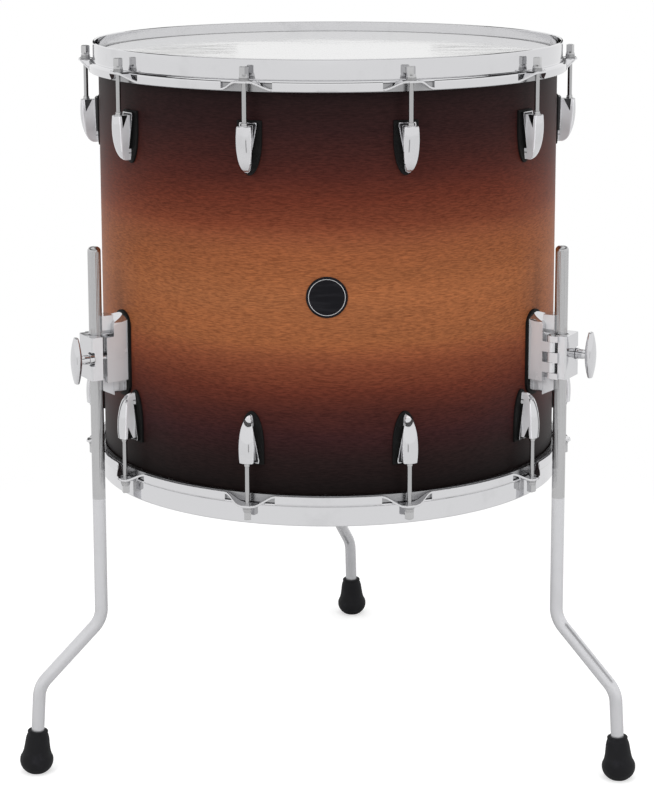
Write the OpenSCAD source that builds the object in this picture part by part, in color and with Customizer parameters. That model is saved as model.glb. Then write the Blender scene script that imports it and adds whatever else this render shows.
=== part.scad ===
// A floor tom: a two-headed wooden drum that stands on three height-adjustable legs.
// Millimetres, +Z up. The origin is on the floor under the drum's axis, and -Y is the front,
// where the badge is. Azimuths run from the front towards +X. Inside a fitting's own module
// x is the distance along the shell's girth and -y is the radius from the drum's axis.

/* [Shell] */
// Outside diameter of the wooden shell
shell_d = 457.2; // [450:0.1:465]
// Height of the shell between its bearing edges
shell_h = 412; // [395:1:440]
// Thickness of the shell's wall
shell_wall = 7; // [5:0.5:8]
// Height of the lower bearing edge above the floor
shell_lift = 291.6; // [280:0.1:310]
// Diameter of the round badge
badge_d = 38.4; // [30:0.2:50]
// Thickness of the badge
badge_t = 1.2; // [0.8:0.1:2]
// Diameter of the air vent's bore
vent_bore_d = 7; // [5:0.5:9]

/* [Heads and hoops] */
// Thickness of a head's film
film_t = 0.25; // [0.2:0.05:0.4]
// Height of a hoop's rim beyond the bearing edge
rim_rise = 10.8; // [8:0.1:13]
// Thickness of a hoop's steel
hoop_t = 2.3; // [1.6:0.1:2.6]
// Gap between the shell and a hoop's upright wall
hoop_gap = 3.1; // [2.8:0.1:4]
// Height of a hoop from its rim to its flange
hoop_wall_h = 19; // [17:0.5:22]
// Height of a hoop's skirt, measured from the top of its flange
hoop_skirt_h = 10.1; // [9:0.1:12]
// Inside radius of a hoop's two bends
hoop_bend_r = 0.85; // [0.6:0.05:1.2]
// Width of the flat top of a hoop's ear
ear_w = 12; // [11:0.5:16]
// Length along the hoop of an ear with its two sloping sides
ear_span = 50; // [44:1:56]

/* [Lugs and tension rods] */
// Number of lugs at each end of the shell
lug_count = 10; // [6:2:10]
// Distance of a tension rod's axis from the shell
rod_offset = 14; // [13.5:0.1:14.5]
// Diameter of a tension rod
rod_d = 5; // [4.6:0.1:5.2]
// Side of a tension rod's square head
rod_square = 6.35; // [6:0.05:6.6]
// Distance from the bearing edge to the flat mouth of a lug
lug_drop = 49.7; // [46:0.1:56]
// Length of a lug's column
lug_l = 43.3; // [41:0.1:46]
// Width of a lug's column
lug_w = 15; // [14.5:0.1:17]
// Distance of a lug's front from the shell
lug_reach = 20.3; // [20:0.1:22]
// Width of a lug's base flange
lug_base_w = 17; // [15:0.1:19]
// Width of the gasket under a lug
lug_gasket_w = 23.8; // [21:0.1:26]
// Thickness of the gasket under a lug
lug_gasket_t = 2.2; // [1:0.1:2.6]
// Diameter of a swivel nut's barrel
nut_d = 7.6; // [7.2:0.1:7.8]

/* [Leg brackets] */
// Height of a bracket's middle above the lower bearing edge
bracket_rise = 128.2; // [120:0.1:150]
// Height of a bracket's base
base_h = 79.2; // [74:0.2:84]
// Width of a bracket's base
base_w = 26; // [24:0.5:30]
// Thickness of the gasket under a bracket
bracket_gasket_t = 2.5; // [1.5:0.1:3]
// Distance of a leg's axis from the shell
leg_offset = 29.7; // [28.5:0.1:31]
// Height of the hinged gate
gate_h = 42; // [40:0.5:46]
// Distance of the gate's outer face from the leg's axis
gate_reach = 11.7; // [11.4:0.1:13]
// Distance of the gate's screw from the leg's axis
screw_offset = 12.5; // [12.2:0.1:13.5]
// Diameter of the gate screw's shank
screw_d = 5; // [4.6:0.1:5.2]
// Height of the gate screw's wing
wing_h = 44.9; // [36:0.1:50]
// Diameter of the hinge pin
pin_d = 4; // [3.6:0.1:4.4]

/* [Legs] */
// Diameter of a leg's rod
leg_d = 12.7; // [12:0.1:13]
// Length of a leg above the middle of its bracket
leg_stub = 106.6; // [80:0.2:130]
// Height of a leg's upper bend above the floor
bend_high = 154.4; // [140:0.2:170]
// Height of a leg's lower bend above the floor
bend_low = 88; // [75:0.5:95]
// Sideways reach of a leg from its upper bend to its lower bend
bend_reach = 62.1; // [50:0.1:70]
// Radius of a leg's bends
bend_r = 28; // [20:1:34]
// Lean of a leg's foot end from upright
foot_lean = 3.5; // [0:0.5:6]
// Diameter of a rubber foot
foot_d = 32.8; // [30:0.2:38]
// Height of a rubber foot
foot_h = 43.1; // [40:0.1:50]

/* [Hidden] */
$fn = 72;
SIDES = ["left", "right", "back"];
ENDS = ["top", "bottom"];

// Clearances
slip = 0.05;        // a shaft in its hole, a face that turns on a face
hole_gap = 0.3;     // a screw in its clearance hole
barrel_gap = 0.2;   // between two hinge knuckles
film_gap = 0.2;     // between the shell and a head's collar

// Azimuth of each bracket, and how far its leg is turned out of the radial direction
BRACKET_AT = [["left", -60, -21.5], ["right", 60, 5.3], ["back", 180, -24]];
function bracket_azimuth(side) = BRACKET_AT[search([side], BRACKET_AT)[0]][1];
function leg_turn(side) = BRACKET_AT[search([side], BRACKET_AT)[0]][2];
function lug_azimuth(i) = (i - 0.5) * 360 / lug_count;
ROD_HEAD_TURN = 52;        // each rod's square head stands this much further round than the last

// Shell
shell_r = shell_d / 2;
bore_r = shell_r - shell_wall;
mid_z = shell_lift + shell_h / 2;
edge_z = shell_lift + shell_h;
rim_z = edge_z + rim_rise;
edge_inset = 2.5;          // from the shell's outside to the crest of a bearing edge
edge_round = 1;            // rounding outside the crest
badge_shift = [-1, -1];    // the badge's middle from the shell's front centre, across and up
vent_azimuth = 144;
vent_flange = 3.6;         // how far the grommet's flange reaches past the bore
vent_tube_t = 1.4;
vent_lip = 1.1;            // thickness of the grommet's flange and of its turned inner lip

// Hoop section, from the rim down
wall_in = shell_r + hoop_gap;
wall_out = wall_in + hoop_t;
bend_big = hoop_bend_r + hoop_t;
flange_z = rim_z - hoop_wall_h;
bend_x = wall_out + hoop_bend_r;
skirt_in = bend_x + hoop_bend_r;
skirt_out = bend_x + bend_big;
skirt_z = flange_z - hoop_skirt_h;
rod_r = shell_r + rod_offset;
ear_out = rod_r + 6.6;

// Flesh hoop: seated under the hoop's flange, with the film's hem in its groove
flesh_in = shell_r + film_gap + film_t + 1.2;
flesh_out = skirt_in - hole_gap;
flesh_top = flange_z - hoop_t - slip;
flesh_h = 8.3;
flesh_soft = hoop_bend_r + slip;   // its outer corner, cut to clear the hoop's inner bend
hem_z = flesh_top - 4;
hem_depth = 2.6;

// Lug, measured down from its mouth
mouth_z = edge_z - lug_drop;
lug_seat = shell_r + lug_gasket_t;
lug_front = shell_r + lug_reach;
lug_base_top = 2.5;        // how far the base flange rises past the mouth
lug_base_l = lug_l - 1;
lug_base_t = 2.7;
lug_base_in = 0.5;         // how much narrower each side of the flange is at its top
lug_gasket_top = lug_base_top + 1.7;
lug_gasket_l = lug_l + 7;
lug_swell = 13;            // depth at which the column is widest
lug_flare = 1.05;          // how much narrower each side of the column is at its mouth
lug_crown = 2.9;           // how far the column's front swells between its two arrises
lug_root = 4.6;            // half width of the column where it meets the flange
lug_nose = 4;              // thickness of the nose's lower end
lug_web = 9;               // width of the web between the two side notches
notch_r = [5.5, 12.7];     // radial span of a side notch at the mouth, from the lug's seat
notch_depth = 12;
rod_end = 24;              // how far a rod reaches into its lug
nut_l = 16;
nut_lip = 1.2;             // thickness of the lip that holds a nut down in its lug
nut_neck_d = nut_d - 1;
collar_t = 1.2;
collar_h = 3.2;
lug_screw_d = 4;
lug_screw_z = [lug_l / 2, lug_l - 7.3];
lug_screw_in = 5.4;        // how far a lug's screw reaches into the lug
lug_screw_head = [7.6, 2.4];    // diameter and height
lug_washer = [11, 1];           // diameter and thickness

// Tension rod, measured down from the rim
rod_top = rim_z - 6.3;
rod_washer_t = 1.1;
rod_washer_d = [10.2, 9.4];
rod_collar_z = flange_z + 2 * rod_washer_t + slip;
rod_collar_h = 3.5;
rod_collar_r = 4.6;

// Bracket, from the drum's axis outwards; heights are from the bracket's middle
bracket_z = shell_lift + bracket_rise;
bracket_seat = shell_r + bracket_gasket_t;
bracket_rim = 2.5;         // how far the gasket shows round the base
leg_r = shell_r + leg_offset;
base_body_r = bracket_seat + 15;
base_arch = 11;            // height of the base's round ends
base_crease_z = base_h / 2 - 8.6;
base_bevel = [2, 3];       // radial depth and height of the bevel above that crease
jaw_r = leg_r - 4.3;
jaw_z = [-24.4, 20];
jaw_in = 6.8;              // how far the jaw reaches past the leg towards the hinge
boss_w = 16;
boss_in = base_body_r - 3;
boss_out = leg_r - 3.3;
boss_soft = [3, 4];        // width and height of the upper boss's lower bevels
boss_cut = 6;              // how much shorter the lower boss is at its front
root_w = boss_w + 2;       // width of the root behind the lower boss
root_pocket_r = [bracket_seat + 1.4, bracket_seat + 8];
root_pocket_z = [-36, -27.5];
root_pocket_t = 2.5;       // depth of the root's side pockets
groove_r = leg_d / 2 + slip;
hinge_x = -12;
hinge_r = leg_r - 3.8;
knuckle_r = 4.6;
knuckle_z = [5, 15];       // the base's knuckles lie between these heights, above and below
gate_in = leg_r + 0.1;
gate_out = leg_r + gate_reach;
gate_x = [-13.5, 16.5];
gate_corner = 1.5;
gate_relief = 3;           // how far the gate is cut back beside its hinge
hub_r = 5.55;
slot_r = screw_d / 2 + 0.6;
socket_r = screw_d / 2 + 0.3;   // the jaw's hole for the gate's screw
slot_shift = 0.3;          // how far the gate's hole is off the screw, to let the gate swing
seat_r = hub_r + 1.3;
seat_depth = 3;
screw_in = 4.5;            // how far the gate's screw reaches behind the jaw's face
wing_stand = 26;           // how far the wing's middle stands out from the leg
wing_r = leg_r + wing_stand;
wing_t = [3.8, 9.1];       // radial thickness of the wing at its tips and at its middle
wing_w = [6, 14.4];        // width of the wing at its tips and at its middle
mount_screw_d = 5;
mount_screw_z = [-31, 24];
mount_screw_in = 8;
mount_screw_head = [9.6, 3.4];  // diameter and height
mount_washer = [16, 1.5];       // diameter and thickness

// Leg, in the upright plane through its two bends
slant = atan(bend_reach / (bend_high - bend_low));
run_high = bend_r * tan(slant / 2);
run_low = bend_r * tan((slant - foot_lean) / 2);
leg_top_z = bracket_z + leg_stub;
dome_r = 4;
bend_swell = 0.06;         // how much thicker the rod is round a bend, where its straights end inside
straight_lap = 0.5;        // how far a straight reaches into a bend
leg_end = 9;               // height of the rod's end inside its foot
foot_out = bend_reach + bend_low * tan(foot_lean);
foot_mid = 12.1;           // height of the foot's widest ring
foot_bottom_b = 14.2;      // half height of the bulb below that ring, before the floor flattens it
neck_r = 11.4;
lip_r = 8.8;
foot_bore_r = leg_d / 2 + 0.01;

// Shared shapes ----------------------------------------------------------------------------

// Points on an arc about (x, y) from angle a0 to angle a1.
function arc(x, y, r, a0, a1, steps = 6) =
    [for (i = [0:steps]) let (a = a0 + (a1 - a0) * i / steps) [x + r * cos(a), y + r * sin(a)]];

// Half width of a bullet outline at depth d: straight at first, then a quarter ellipse.
function bullet_half(half, length, d, straight = 0.33) =
    let (s = length * straight) d <= s ? half : half * sqrt(max(0, 1 - pow((d - s) / (length - s), 2)));

// A bullet outline of that width, hanging from y = 0.
module bullet(width, length, steps = 14) {
    s = length * 0.33;
    depths = concat([0, s], [for (i = [1:steps]) s + (length - s) * sin(90 * i / steps)]);
    right = [for (d = depths) [bullet_half(width / 2, length, d), -d]];
    left = [for (i = [len(right) - 2:-1:0]) [-right[i][0], right[i][1]]];
    polygon(concat(right, left));
}

// A lens outline: half size a at the middle and b at both tips, over the given height.
module lens(a, b, height, steps = 8) {
    side = [for (i = [-steps:steps]) let (k = i / steps) [b + (a - b) * (1 - k * k), k * height / 2]];
    polygon(concat(side, [for (i = [len(side) - 1:-1:0]) [-side[i][0], side[i][1]]]));
}

module at_azimuth(a) rotate([0, 0, a]) children();

// Everything at the lower end is the upper end turned over about the shell's middle.
module at_end(end) {
    if (end == "top") children();
    else translate([0, 0, 2 * mid_z]) mirror([0, 0, 1]) children();
}

module at_each_lug() for (i = [1:lug_count]) at_azimuth(lug_azimuth(i)) children();

module at_bracket(side) at_azimuth(bracket_azimuth(side)) translate([0, 0, bracket_z]) children();

// An (x, z) outline pushed outwards from radius r0 to radius r1.
module outwards(r0, r1) translate([0, -r0, 0]) rotate([90, 0, 0]) linear_extrude(r1 - r0) children();

// A (radius, z) outline pushed across, half to each side of x = 0.
module across(width) rotate([0, 0, -90]) rotate([90, 0, 0]) linear_extrude(width, center = true) children();

// A radial pin or hole at (x, z) from radius r0 to radius r1.
module spoke(x, z, r, r0, r1) translate([x, -r0, z]) rotate([90, 0, 0]) cylinder(r = r, h = r1 - r0);

// An upright pin or hole at (x, radius) from height z0 to height z1.
module post(x, radius, r, z0, z1) translate([x, -radius, z0]) cylinder(r = r, h = z1 - z0);

// A block between two corners given as (x, radius, z).
module block(a, b) translate([a[0], -b[1], a[2]]) cube([b[0] - a[0], b[1] - a[1], b[2] - a[2]]);

// The wall between two radii about the drum's axis.
module ring(r0, r1, z0, z1) difference() {
    translate([0, 0, z0]) cylinder(r = r1, h = z1 - z0, $fn = 180);
    translate([0, 0, z0 - 1]) cylinder(r = r0, h = z1 - z0 + 2, $fn = 180);
}

// Shell, badge and vent --------------------------------------------------------------------

module shell() color("saddlebrown") difference() {
    rotate_extrude($fn = 180) {
        bevel = shell_wall - edge_inset;
        polygon([
            [bore_r, shell_lift + bevel], [shell_r - edge_inset, shell_lift],
            [shell_r - edge_round, shell_lift], [shell_r, shell_lift + edge_round],
            [shell_r, edge_z - edge_round], [shell_r - edge_round, edge_z],
            [shell_r - edge_inset, edge_z], [bore_r, edge_z - bevel]
        ]);
    }
    for (end = ENDS) at_end(end) at_each_lug() for (z = lug_screw_z)
        spoke(0, mouth_z - z, lug_screw_d / 2 + hole_gap, bore_r - 2, shell_r + 2);
    for (side = SIDES) at_bracket(side) for (z = mount_screw_z)
        spoke(0, z, mount_screw_d / 2 + hole_gap, bore_r - 2, shell_r + 2);
    at_azimuth(vent_azimuth)
        spoke(0, mid_z, vent_bore_d / 2 + vent_tube_t + slip, bore_r - 2, shell_r + 2);
}

module badge() color("black") intersection() {
    ring(shell_r, shell_r + badge_t, mid_z - badge_d, mid_z + badge_d);
    spoke(badge_shift[0], mid_z + badge_shift[1], badge_d / 2, bore_r, shell_r + 5);
}

module vent_grommet() color("silver") at_azimuth(vent_azimuth) {
    tube_r = vent_bore_d / 2 + vent_tube_t;
    difference() {
        union() {
            intersection() {
                ring(shell_r, shell_r + vent_lip, mid_z - 2 * vent_bore_d, mid_z + 2 * vent_bore_d);
                spoke(0, mid_z, vent_bore_d / 2 + vent_flange, bore_r, shell_r + 5);
            }
            intersection() {
                ring(bore_r - vent_lip, shell_r + vent_lip, mid_z - 20, mid_z + 20);
                spoke(0, mid_z, tube_r, bore_r - 5, shell_r + 5);
            }
            intersection() {
                ring(bore_r - vent_lip, bore_r, mid_z - 20, mid_z + 20);
                spoke(0, mid_z, tube_r + vent_lip, bore_r - 5, shell_r);
            }
        }
        spoke(0, mid_z, vent_bore_d / 2, bore_r - 6, shell_r + 6);
    }
}

// Heads and hoops --------------------------------------------------------------------------

module head(end) color("whitesmoke") at_end(end) rotate_extrude($fn = 180) {
    collar = shell_r + film_gap;
    polygon([
        [0, edge_z], [collar, edge_z], [collar, hem_z], [flesh_in + hem_depth, hem_z],
        [flesh_in + hem_depth, hem_z + film_t], [collar + film_t, hem_z + film_t],
        [collar + film_t, edge_z + film_t], [0, edge_z + film_t]
    ]);
}

module flesh_hoop(end) color("lightgray") at_end(end) rotate_extrude($fn = 180) {
    groove = flesh_in + hem_depth + slip;
    polygon([
        [flesh_in, flesh_top], [flesh_in, hem_z + film_t + slip], [groove, hem_z + film_t + slip],
        [groove, hem_z - slip], [flesh_in, hem_z - slip], [flesh_in, flesh_top - flesh_h],
        [flesh_out, flesh_top - flesh_h], [flesh_out, flesh_top - flesh_soft],
        [flesh_out - flesh_soft, flesh_top]
    ]);
}

// The hoop's bent section, given as (radius, z).
module hoop_section() {
    edge = hoop_t / 2;
    polygon(concat(
        arc(wall_in + edge, rim_z - edge, edge, 180, 0),
        arc(bend_x, flange_z + hoop_bend_r, hoop_bend_r, 180, 270),
        arc(bend_x, flange_z - bend_big, bend_big, 90, 0),
        [[skirt_out, skirt_z], [skirt_in, skirt_z]],
        arc(bend_x, flange_z - bend_big, hoop_bend_r, 0, 90),
        arc(bend_x, flange_z + hoop_bend_r, bend_big, 270, 180)
    ));
}

// An ear: a flat tab for the rod, with two sides that sweep down to the skirt's lower edge.
module hoop_ear() {
    half = ear_w / 2;
    reach = ear_span / 2;
    // points on one side of the ear, from the tab to its end: [across, share of the sweep done]
    sweep = [for (i = [0:8]) let (k = i / 8) [half + (reach - half) * k, k * k * (3 - 2 * k)]];
    back = [for (i = [8:-1:0]) sweep[i]];
    drop = hoop_skirt_h - hoop_t;
    out = ear_out - 1.5;
    difference() {
        intersection() {
            outwards(bend_x, ear_out) polygon(concat(
                [for (p = back) [-p[0], flange_z - drop * p[1]]],
                [for (p = sweep) [p[0], flange_z - drop * p[1]]],
                [for (p = back) [p[0], flange_z - hoop_t - drop * p[1]]],
                [for (p = sweep) [-p[0], flange_z - hoop_t - drop * p[1]]]
            ));
            translate([0, 0, skirt_z - 1]) linear_extrude(hoop_skirt_h + 2) polygon(concat(
                [[-reach, -skirt_in], [-half, -skirt_in], [-half, -bend_x], [half, -bend_x],
                 [half, -skirt_in], [reach, -skirt_in]],
                [for (p = back) [p[0], -out + (out - skirt_out) * p[1]]],
                [[half - 2, -ear_out], [2 - half, -ear_out]],
                [for (p = sweep) [-p[0], -out + (out - skirt_out) * p[1]]]
            ));
        }
        post(0, rod_r, rod_d / 2 + 0.8, skirt_z, flange_z + 1);
    }
}

module hoop(end) color("gainsboro") at_end(end) {
    cut = ear_span / 2 - 0.4;
    difference() {
        rotate_extrude($fn = 180) hoop_section();
        at_each_lug() block([-cut, bend_x + 0.3, skirt_z - 1], [cut, skirt_out + 2, flange_z - hoop_t]);
    }
    at_each_lug() hoop_ear();
}

// Lugs and tension rods --------------------------------------------------------------------

module lug() translate([0, 0, mouth_z]) {
    flange_r = lug_seat + lug_base_t;
    bore = nut_d / 2 + slip;
    difference() {
        union() {
            outwards(lug_seat - 3, flange_r) polygon([
                [lug_base_in - lug_base_w / 2, lug_base_top], [lug_base_w / 2 - lug_base_in, lug_base_top],
                [lug_base_w / 2, 0], [0, -lug_base_l], [-lug_base_w / 2, 0]
            ]);
            intersection() {
                outwards(lug_seat - 3, lug_front) lug_face();
                translate([0, 0, -lug_l]) linear_extrude(lug_l) lug_plan(flange_r);
                across(lug_w + 2) lug_profile();
            }
        }
        // the side notches
        for (side = [-1, 1]) translate([side * (lug_web / 2 + lug_w / 2), 0, 0])
            across(lug_w) polygon([
                [lug_seat + notch_r[0], 1], [lug_seat + notch_r[1], 1], [rod_r - 0.2, -notch_depth]
            ]);
        translate([0, 0, -lug_l * 2]) cylinder(r = lug_seat, h = lug_l * 3, $fn = 180);
        // the nut's bore, open at the back, its neck and the rod's clearance
        post(0, rod_r, bore, -nut_l - slip, -nut_lip);
        block([-bore, lug_seat - 1, -nut_l - slip], [bore, rod_r, -nut_lip]);
        post(0, rod_r, nut_neck_d / 2 + slip, -nut_lip - 1, 1);
        post(0, rod_r, rod_d / 2 + 0.5, -rod_end - 1, 1);
        for (z = lug_screw_z)
            spoke(0, -z, lug_screw_d / 2 + slip, lug_seat - 1, lug_seat + lug_screw_in + 0.3);
    }
}

// Half width of a lug's column at depth d: it widens from its mouth, then closes round its nose.
function column_half(d) =
    d < lug_swell ? lug_w / 2 - lug_flare * pow(1 - d / lug_swell, 2)
    : lug_w / 2 * sqrt(max(0, 1 - pow((d - lug_swell) / (lug_l - lug_swell), 2)));

// The column seen from the front.
module lug_face() {
    depths = concat(
        [for (i = [0:4]) lug_swell * i / 4],
        [for (i = [1:12]) lug_swell + (lug_l - lug_swell) * sin(7.5 * i)]
    );
    right = [for (d = depths) [column_half(d), -d]];
    left = [for (i = [len(right) - 2:-1:0]) [-right[i][0], right[i][1]]];
    polygon(concat(right, left));
}

// The column seen from above: sides that spread from its root, and a crowned front.
module lug_plan(flange_r) {
    arris = lug_front - lug_crown;
    front = [for (i = [-6:6]) let (k = -i / 6) [lug_w / 2 * k, -arris - lug_crown * (1 - k * k)]];
    polygon(concat(
        [[-lug_root, -flange_r], [-lug_root, 3 - lug_seat], [lug_root, 3 - lug_seat], [lug_root, -flange_r]],
        front
    ));
}

// The column seen from the side: a flat mouth, a slightly swelling front and a round nose.
module lug_profile() {
    swell = 11;
    root = lug_seat + lug_nose;
    front = [for (a = [0:9:90]) [root + (lug_front - root) * cos(a), -swell - (lug_l - swell) * sin(a)]];
    mouth = [[lug_seat - 3, 0], [lug_front - 2.2, 0], [lug_front - 0.7, -4]];
    polygon(concat(mouth, front, [[lug_seat - 3, -lug_l]]));
}

module lugs(end) color("silver") at_end(end) at_each_lug() lug();

module lug_gaskets(end) color("black") at_end(end) at_each_lug() difference() {
    intersection() {
        ring(shell_r, lug_seat, mouth_z - 2 * lug_l, mouth_z + lug_l);
        translate([0, 0, mouth_z + lug_gasket_top]) outwards(shell_r - 2, lug_seat + 2)
            bullet(lug_gasket_w, lug_gasket_l);
    }
    for (z = lug_screw_z)
        spoke(0, mouth_z - z, lug_screw_d / 2 + hole_gap, shell_r - 3, lug_seat + 3);
}

module swivel_nuts(end) color("darkgray") at_end(end) at_each_lug()
    translate([0, -rod_r, mouth_z]) difference() {
        barrel_top = -nut_lip - slip;
        union() {
            translate([0, 0, -nut_l]) cylinder(d = nut_d, h = nut_l + barrel_top);
            translate([0, 0, barrel_top - 1]) cylinder(d = nut_neck_d, h = 1 - barrel_top + collar_t);
            translate([0, 0, collar_t])
                cylinder(d1 = nut_neck_d, d2 = rod_d + 0.9, h = collar_h - collar_t);
        }
        translate([0, 0, -nut_l - 1]) cylinder(d = rod_d + 2 * slip, h = nut_l + collar_h + 2);
    }

// A pan-headed screw through the wall from inside, with its washer against the wall.
module wall_screw(d, head, washer, tip_r) {
    head_r = wall_seat(washer[0]) - washer[1];
    spoke(0, 0, head[0] / 2, head_r - head[1], head_r);
    spoke(0, 0, d / 2, head_r - 1, tip_r);
}

// Radius of a flat washer's outer face where its rim meets the curved wall.
function wall_seat(washer_d) = sqrt(pow(bore_r, 2) - pow(washer_d / 2, 2)) - slip;

module wall_washer(d, washer) difference() {
    spoke(0, 0, washer[0] / 2, wall_seat(washer[0]) - washer[1], wall_seat(washer[0]));
    spoke(0, 0, d / 2 + slip, wall_seat(washer[0]) - 5, shell_r);
}

module lug_screws() color("dimgray") for (end = ENDS) at_end(end) at_each_lug() for (z = lug_screw_z)
    translate([0, 0, mouth_z - z])
        wall_screw(lug_screw_d, lug_screw_head, lug_washer, lug_seat + lug_screw_in);

module lug_screw_washers() color("gray") for (end = ENDS) at_end(end) at_each_lug()
    for (z = lug_screw_z) translate([0, 0, mouth_z - z]) wall_washer(lug_screw_d, lug_washer);

module rod_washers(end) color("silver") at_end(end) at_each_lug() for (k = [0, 1])
    translate([0, -rod_r, flange_z + k * rod_washer_t]) difference() {
        cylinder(d = rod_washer_d[k], h = rod_washer_t);
        translate([0, 0, -1]) cylinder(d = rod_d + 2 * slip, h = rod_washer_t + 2);
    }

module tension_rod(end, i) color("lightgray") at_end(end) at_azimuth(lug_azimuth(i))
    translate([0, -rod_r, 0]) {
    side = rod_square / 2;
    square_z = rod_collar_z + rod_collar_h - 0.5;
    rotate([0, 0, (i * ROD_HEAD_TURN) % 90]) intersection() {
        translate([-side, -side, square_z]) cube([rod_square, rod_square, rod_top - square_z]);
        translate([0, 0, square_z]) cylinder(r = side * 1.28, h = rod_top - square_z);
    }
    translate([0, 0, rod_collar_z]) cylinder(r1 = rod_collar_r, r2 = side * 1.15, h = rod_collar_h);
    translate([0, 0, mouth_z - rod_end]) cylinder(d = rod_d, h = rod_collar_z + 1 - mouth_z + rod_end);
}

// Leg brackets -----------------------------------------------------------------------------

// An upright outline with arched ends, about the bracket's middle.
module arched(width, z0, z1, arch) {
    half = width / 2;
    top = [for (a = [0:12:180]) [half * cos(a), z1 - arch + arch * sin(a)]];
    bottom = [for (a = [180:12:360]) [half * cos(a), z0 + arch + arch * sin(a)]];
    polygon(concat(top, bottom));
}

module bracket_gaskets() color("black") for (side = SIDES) at_bracket(side) difference() {
    intersection() {
        ring(shell_r, bracket_seat, -base_h, base_h);
        outwards(shell_r - 3, bracket_seat + 3)
            arched(base_w + 2 * bracket_rim, -base_h / 2 - bracket_rim, base_h / 2 + bracket_rim,
                   base_arch + bracket_rim);
    }
    for (z = mount_screw_z) spoke(0, z, mount_screw_d / 2 + hole_gap, shell_r - 3, bracket_seat + 3);
}

// Half width of a base at a radius: its sides spread from its seat to its jaw.
function base_side(r) =
    base_w / 2 + (gate_x[1] - base_w / 2) * (r - bracket_seat) / (jaw_r - bracket_seat);

// A base's two flat sides, seen from above, out to a radius.
module base_plan(r) polygon([
    [-base_side(bracket_seat - 3), 3 - bracket_seat], [base_side(bracket_seat - 3), 3 - bracket_seat],
    [base_side(r), -r], [-base_side(r), -r]
]);

module bracket_base(side) color("silver") at_bracket(side) difference() {
    half = base_h / 2;
    boss_z = gate_h / 2 + 0.6;
    wide = 2 * base_side(base_body_r);
    union() {
        // the body, with its arched top bevelled and sloped back to the gasket
        intersection() {
            outwards(bracket_seat - 2, base_body_r)
                arched(wide, jaw_z[0] - base_arch, half, base_arch);
            translate([0, 0, jaw_z[0]]) linear_extrude(base_h) base_plan(base_body_r);
            across(2 * wide) polygon([
                [bracket_seat - 3, -half], [base_body_r, -half], [base_body_r, base_crease_z],
                [base_body_r - base_bevel[0], base_crease_z + base_bevel[1]],
                [bracket_seat, half], [bracket_seat - 3, half]
            ]);
        }
        // the jaw beside the leg
        translate([0, 0, jaw_z[0]]) linear_extrude(jaw_z[1] - jaw_z[0]) intersection() {
            base_plan(jaw_r);
            translate([-jaw_in, -jaw_r]) square([wide, jaw_r - base_body_r + 2]);
        }
        // the root behind the lower boss, then the two bosses
        outwards(bracket_seat - 2, boss_in + 1) arched(root_w, 1 - half, 0, 5);
        outwards(boss_in, boss_out) polygon([
            [-boss_w / 2, half], [-boss_w / 2, boss_z + boss_soft[1]], [boss_soft[0] - boss_w / 2, boss_z],
            [boss_w / 2 - boss_soft[0], boss_z], [boss_w / 2, boss_z + boss_soft[1]], [boss_w / 2, half]
        ]);
        across(boss_w) polygon([
            [boss_in, -boss_z], [boss_out, -boss_z], [boss_out, boss_cut - half], [boss_in, -half]
        ]);
        for (side = [-1, 1])
            hinge_barrel(knuckle_z[0] + barrel_gap / 2, knuckle_z[1], side, base_body_r - 2,
                         base_side(base_body_r - 2));
    }
    for (side = [-1, 1]) translate([side * root_w / 2, 0, 0]) block(
        [-root_pocket_t, root_pocket_r[0], root_pocket_z[0]],
        [root_pocket_t, root_pocket_r[1], root_pocket_z[1]]
    );
    translate([0, 0, -base_h]) cylinder(r = bracket_seat, h = 2 * base_h, $fn = 180);
    post(0, leg_r, groove_r, -base_h, base_h);
    post(hinge_x, hinge_r, pin_d / 2 + slip, -base_h, gate_h / 2);
    spoke(screw_offset, 0, socket_r, jaw_r - screw_in - 1, leg_r);
    for (z = mount_screw_z)
        spoke(0, z, mount_screw_d / 2 + slip, bracket_seat - 1, bracket_seat + mount_screw_in + 0.5);
}

// A knuckle between two heights, above (1) or below (-1) the middle. Its web runs to radius
// web_r, where its outer side is web_x from the bracket's middle.
module hinge_barrel(z0, z1, side, web_r, web_x) mirror([0, 0, side < 0 ? 1 : 0]) {
    post(hinge_x, hinge_r, knuckle_r, z0, z1);
    translate([0, 0, z0]) linear_extrude(z1 - z0) polygon([
        [hinge_x - knuckle_r, -hinge_r], [hinge_x + knuckle_r, -hinge_r], [hinge_x + knuckle_r, -web_r],
        [-web_x, -web_r]
    ]);
}

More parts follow.
